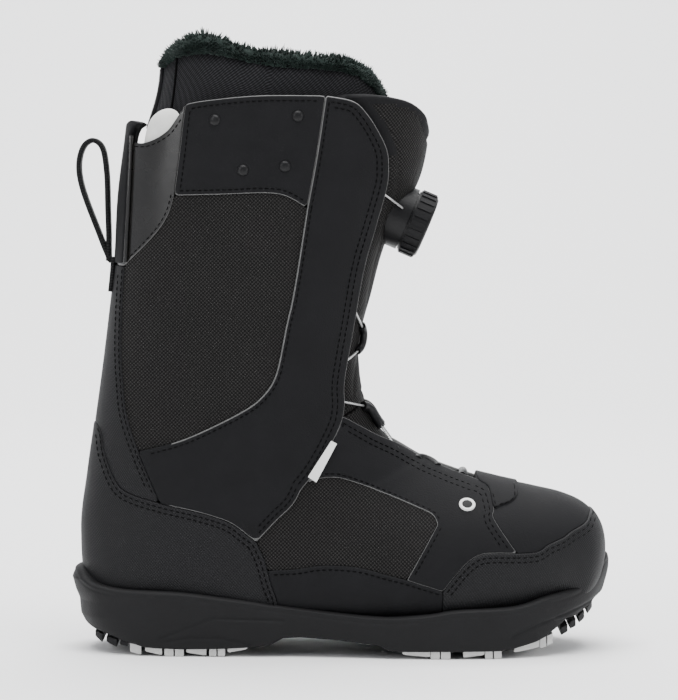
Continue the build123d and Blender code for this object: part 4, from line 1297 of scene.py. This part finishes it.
def lace_path():
    """Points along the whole lace, each with the guide that holds it, or -1 on a free run."""
    left, held_left = strand(-1)
    right, held_right = strand(1)
    corners, held = left + right[::-1], held_left + held_right[::-1]
    path, tags, last = [corners[0]], [0], corners[0]
    for i in range(1, len(corners) - 1):
        a, b, c = corners[i - 1:i + 2]
        radius, turn = bend_radius(a, b, c)
        cut = radius * math.tan(turn / 2)
        start, end = b + (a - b) / np.linalg.norm(a - b) * cut, b + (c - b) / np.linalg.norm(c - b) * cut
        gap = np.linalg.norm(start - path[-1])
        for share in np.linspace(0, 1, max(2, int(gap / 3)))[1:]:
            path.append(last + (start - last) * share)
            tags.append(held[i] if held[i] == held[i - 1] else -1)
        for share in (0.25, 0.5, 0.75, 1.0):
            path.append(start * (1 - share) ** 2 + 2 * b * share * (1 - share) + end * share ** 2)
            tags.append(held[i])
        last = end
    path.append(corners[-1])
    tags.append(0)
    return np.array(path), tags


def rope(name, path, radius, finish, body):
    """A tube along a path, with lengths for its twist."""
    way = np.gradient(path, axis=0)
    way /= np.linalg.norm(way, axis=1)[:, None]
    side = np.cross(way[0], (0, 0, 1.0))
    side /= np.linalg.norm(side)
    far = np.concatenate([[0], np.cumsum(np.linalg.norm(np.diff(path, axis=0), axis=1))])
    points, cloth = [], []
    for p, w, s in zip(path, way, far):
        side = side - w * np.dot(side, w)
        side /= np.linalg.norm(side)
        up = np.cross(w, side)
        for k in range(11):
            turn = 2 * math.pi * k / 10
            points.append(p + radius * (side * math.cos(turn) + up * math.sin(turn)))
            cloth.append((turn, s * MM))
    faces = [[r * 11 + k, r * 11 + k + 1, (r + 1) * 11 + k + 1,
        (r + 1) * 11 + k] for r in range(len(path) - 1)
             for k in range(10)]
    return piece(name, points, faces, finish, body, (), np.array(cloth))


HOLDER_BODY = {0: "tongue", 1: "boot", 2: "tongue", 3: "boot"}
path, tags = lace_path()
bodies = [HOLDER_BODY.get(tag, "boot") if tag >= 0 else None for tag in tags]
for i, body in enumerate(bodies):
    if body is None:
        before = next(b for b in bodies[i::-1] if isinstance(b, str))
        after = next(b for b in bodies[i:] if isinstance(b, str))
        bodies[i] = before if before == after else (before, after)
starts = [0] + [i for i in range(1, len(path)) if bodies[i] != bodies[i - 1]] + [len(path)]
for k, (a, b) in enumerate(zip(starts, starts[1:])):
    points = path[max(0, a - 1):b]
    if len(points) < 2:
        points = path[a:a + 2]
    crossing = isinstance(bodies[a], tuple)
    span = rope(f"lace_run_{k:02d}", points, 0.65, "steel", None if crossing else bodies[a])
    if crossing:
        tuple(points[0] * MM)
        tuple(points[-1] * MM)
        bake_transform(span)
    if k == 0:
        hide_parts("steel_lace")
print("lace runs", len(starts) - 1)

# %% [markdown]
# ## Dial face, webbing and trim
# The dial keeps its designed parts and gains a turned face with fine rings. The pull loop is folded webbing
# with its own weave, and the badge is a small moulded button.

# %% Dial face, badge and pull loop
def turned(name, profile, origin, x_axis, y_axis, z_axis, finish, body, slot, cad=(), count=96):
    """A lathe-turned piece: radius and height pairs round an axis."""
    points, faces = [], []
    for r, h in profile:
        for k in range(count):
            t = 2 * math.pi * k / count
            points.append(origin + x_axis * r * math.cos(t) + y_axis * r * math.sin(t) + z_axis * h)
    for i in range(len(profile) - 1):
        for k in range(count):
            j = (k + 1) % count
            faces.append([i * count + k, i * count + j, (i + 1) * count + j, (i + 1) * count + k])
    return piece(name, points, faces, finish, body, cad, None)


rings = [(0.01, 17.35), (5.0, 17.35), (5.2, 17.1), (5.7, 17.1), (5.9, 17.35)]
for r in (8.0, 10.0, 12.0):
    rings += [(r, 17.3), (r + 0.15, 17.12), (r + 0.45, 17.12), (r + 0.6, 17.3)]
rings += [(14.4, 17.25), (15.2, 17.0), (15.3, 16.9)]
turned("dial_face", rings, DIAL_AT, DIAL_X, DIAL_Y, DIAL_Z, "nylon", "knob", "dial_plastic")


def skin_frame(x, z, side):
    """Point and axes of a plane that lies on the upper."""
    at = on_side(np.array([[x, z]], float), STATIONS, side)[0][0]
    ahead = on_side(np.array([[x + 1, z]], float), STATIONS, side)[0][0] - at
    above = on_side(np.array([[x, z + 1]], float), STATIONS, side)[0][0] - at
    out = np.cross(above, ahead) * side
    out /= np.linalg.norm(out)
    out *= np.sign(out[1]) * side
    ahead /= np.linalg.norm(ahead)
    return at, ahead, np.cross(out, ahead), out


at, a_x, a_y, a_z = skin_frame(71.4, 84.7, -1)
turned("side_badge", [(4.6, -0.6), (4.6, 0.9), (4.2, 1.25), (3.5, 1.3), (3.2, 1.05), (2.9, 0.95)], at, a_x,
    a_y, a_z,
       "label", "boot", "white_label", ["side_badge"], 48)
turned("side_badge_middle", [(3.15, 0.9), (2.6, 1.05), (1.2, 1.15), (0.01, 1.18)], at, a_x, a_y, a_z,
    "grip", "boot",
       "white_label", (), 40)

LOOP = [(-131.5, 220), (-140, 240), (-148, 262), (-150, 276), (-147, 287), (-140.5, 291), (-134, 286),
    (-131.4, 271),
        (-130.8, 250), (-130.4, 232)]


def webbing_strip(name, line, wide, thick, closed, body, cad):
    """A flat woven strap along a side-view line, with slightly rounded edges."""
    p = np.array(line, float)
    if closed:
        q = np.concatenate([p[-2:], p, p[:2]])
        p = between(q, 2 + np.arange(len(p) * 8) / 8)
        way = np.roll(p, -1, 0) - np.roll(p, 1, 0)
    else:
        p = between(p, np.linspace(0, len(p) - 1, (len(p) - 1) * 8 + 1))
        way = np.gradient(p, axis=0)
    way /= np.linalg.norm(way, axis=1)[:, None]
    inward = np.stack([way[:, 1], -way[:, 0]], 1)
    far = np.concatenate([[0], np.cumsum(np.linalg.norm(np.diff(p, axis=0), axis=1))])
    section = [(-0.5, 0.5), (-0.48, 0.12), (-0.4, 0.0), (0, 0.0), (0.4, 0.0), (0.48, 0.12), (0.5, 0.5),
        (0.48, 0.88),
               (0.4, 1.0), (0, 1.0), (-0.4, 1.0), (-0.48, 0.88)]
    points, cloth = [], []
    for q, n, s in zip(p, inward, far):
        for across, deep in section:
            points.append((q[0] + n[0] * thick * deep, across * wide, q[1] + n[1] * thick * deep))
            cloth.append((across * wide * MM, s * MM))
    m, faces = len(section), []
    count = len(p)
    for r in range(count if closed else count - 1):
        for k in range(m):
            r1 = (r + 1) % count
            faces.append([r * m + k, r * m + (k + 1) % m, r1 * m + (k + 1) % m, r1 * m + k])
    if not closed:
        faces += [list(range(m))[::-1], list(range((count - 1) * m, count * m))]
    return piece(name, points, faces, "webbing", body, cad, np.array(cloth))


webbing_strip("pull_loop", LOOP, 14, 2.8, True, "pull_loop", ["pull_loop"])
webbing_strip("pull_loop_patch", [(-127.2, 223), (-128.0, 213), (-129.0, 203.5)], 20, 3.0, False, "boot",
              ["pull_loop_patch"])
dome = [(3.2, -0.6), (3.2, 0.3), (2.9, 0.95), (2.2, 1.45), (1.1, 1.75), (0.01, 1.8)]
for half, side in SIDES.items():
    for k, (x, z) in enumerate([(-69.5, 300.4), (-23.4, 302.6), (-53.9, 272.6), (-30.6, 274.8)]):
        turned(f"rivet_{half}_{k}", dome, *skin_frame(x, z, side), "satin_black", "boot", "rivet_metal",
               ["collar_rivets"], 32)
for half, side in SIDES.items():
    line = np.array([(-120.8, 221), (-120.0, 240), (-118.8, 262), (-117.6, 292)], float)
    bend_line = between(line, np.linspace(0, 3, 40))
    rope(f"rear_piping_{half}", on_side(bend_line, drawn_in(-0.9, -0.9, -0.9), side)[0], 1.2, "gloss",
        "boot")
    seam = between(np.array([(-91.5, 337), (-92.5, 325), (-94, 312), (-96, 300)], float),
        np.linspace(0, 3, 30))
    rope(f"liner_piping_{half}", on_side(seam, liner_rows(-0.3), side)[0], 0.7, "thread", "boot")
print("dial face, badge and loop made")

# %% [markdown]
# ## Finishes of the moulded and machined parts
# The designed parts that are already the right shape keep their own meshes. Each gets the finish of its
# real material through its material slots.

# %% Paint the designed parts
SLOT_FINISH = {
    "rubber_black": "rubber", "rubber_white": "pale_rubber", "eva": "rubber", "board": "fleece",
    "shank_plastic": "nylon", "guide_plastic": "nylon", "dial_plastic": "nylon", "dial_rubber": "grip",
    "steel": "satin_black", "lace_steel": "satin_black", "rivet_metal": "satin_black", "webbing": "webbing",
    "white_label": "label",
}
node_slot = {row.get("name"): row.get("material_slot") or row.get("slot")
             for row in frame["record"].get("nodes", [])}
painted = 0
for name, thing in frame["nodes"].items():
    if thing.type != "MESH":
        continue
    given = thing.material_slots[0].material if thing.material_slots else None
    slot_name = node_slot.get(name) or (given.name if given else "")
    finish = SLOT_FINISH.get(slot_name.split(".")[0], "nylon")
    if not thing.material_slots:
        continue
    for s in thing.material_slots:
        s.material = finishes[finish].material
    painted += 1
print("painted", painted, "slots", sorted({str(v) for v in node_slot.values()}))

# %% [markdown]
# A pale floor carries the boot's soft shadow.

# %% Floor
def make_backdrop():
    """A pale sheet that lies flat and curves up behind the boot."""
    profile = [(-5, 0), (1.8, 0)] + [(1.8 + 1.6 * math.sin(t), 1.6 - 1.6 * math.cos(t)) for t in
                                     np.linspace(0.05, math.pi / 2, 24)] + [(3.4, 5)]
    points = [(x, y, z) for y, z in profile for x in (-6, 6)]
    faces = [[2 * i, 2 * i + 1, 2 * i + 3, 2 * i + 2] for i in range(len(profile) - 1)]
    mesh = bpy.data.meshes.new("backdrop")
    mesh.from_pydata(points, [], faces)
    mesh.polygons.foreach_set("use_smooth", [True] * len(faces))
    mesh.materials.append(PALE.material)
    sheet = bpy.data.objects.new("backdrop", mesh)
    bpy.context.collection.objects.link(sheet)


PALE = Finish("pale_floor", (0.9, 0.9, 0.9), 0.75, Specular_IOR_Level=0.2)
make_backdrop()
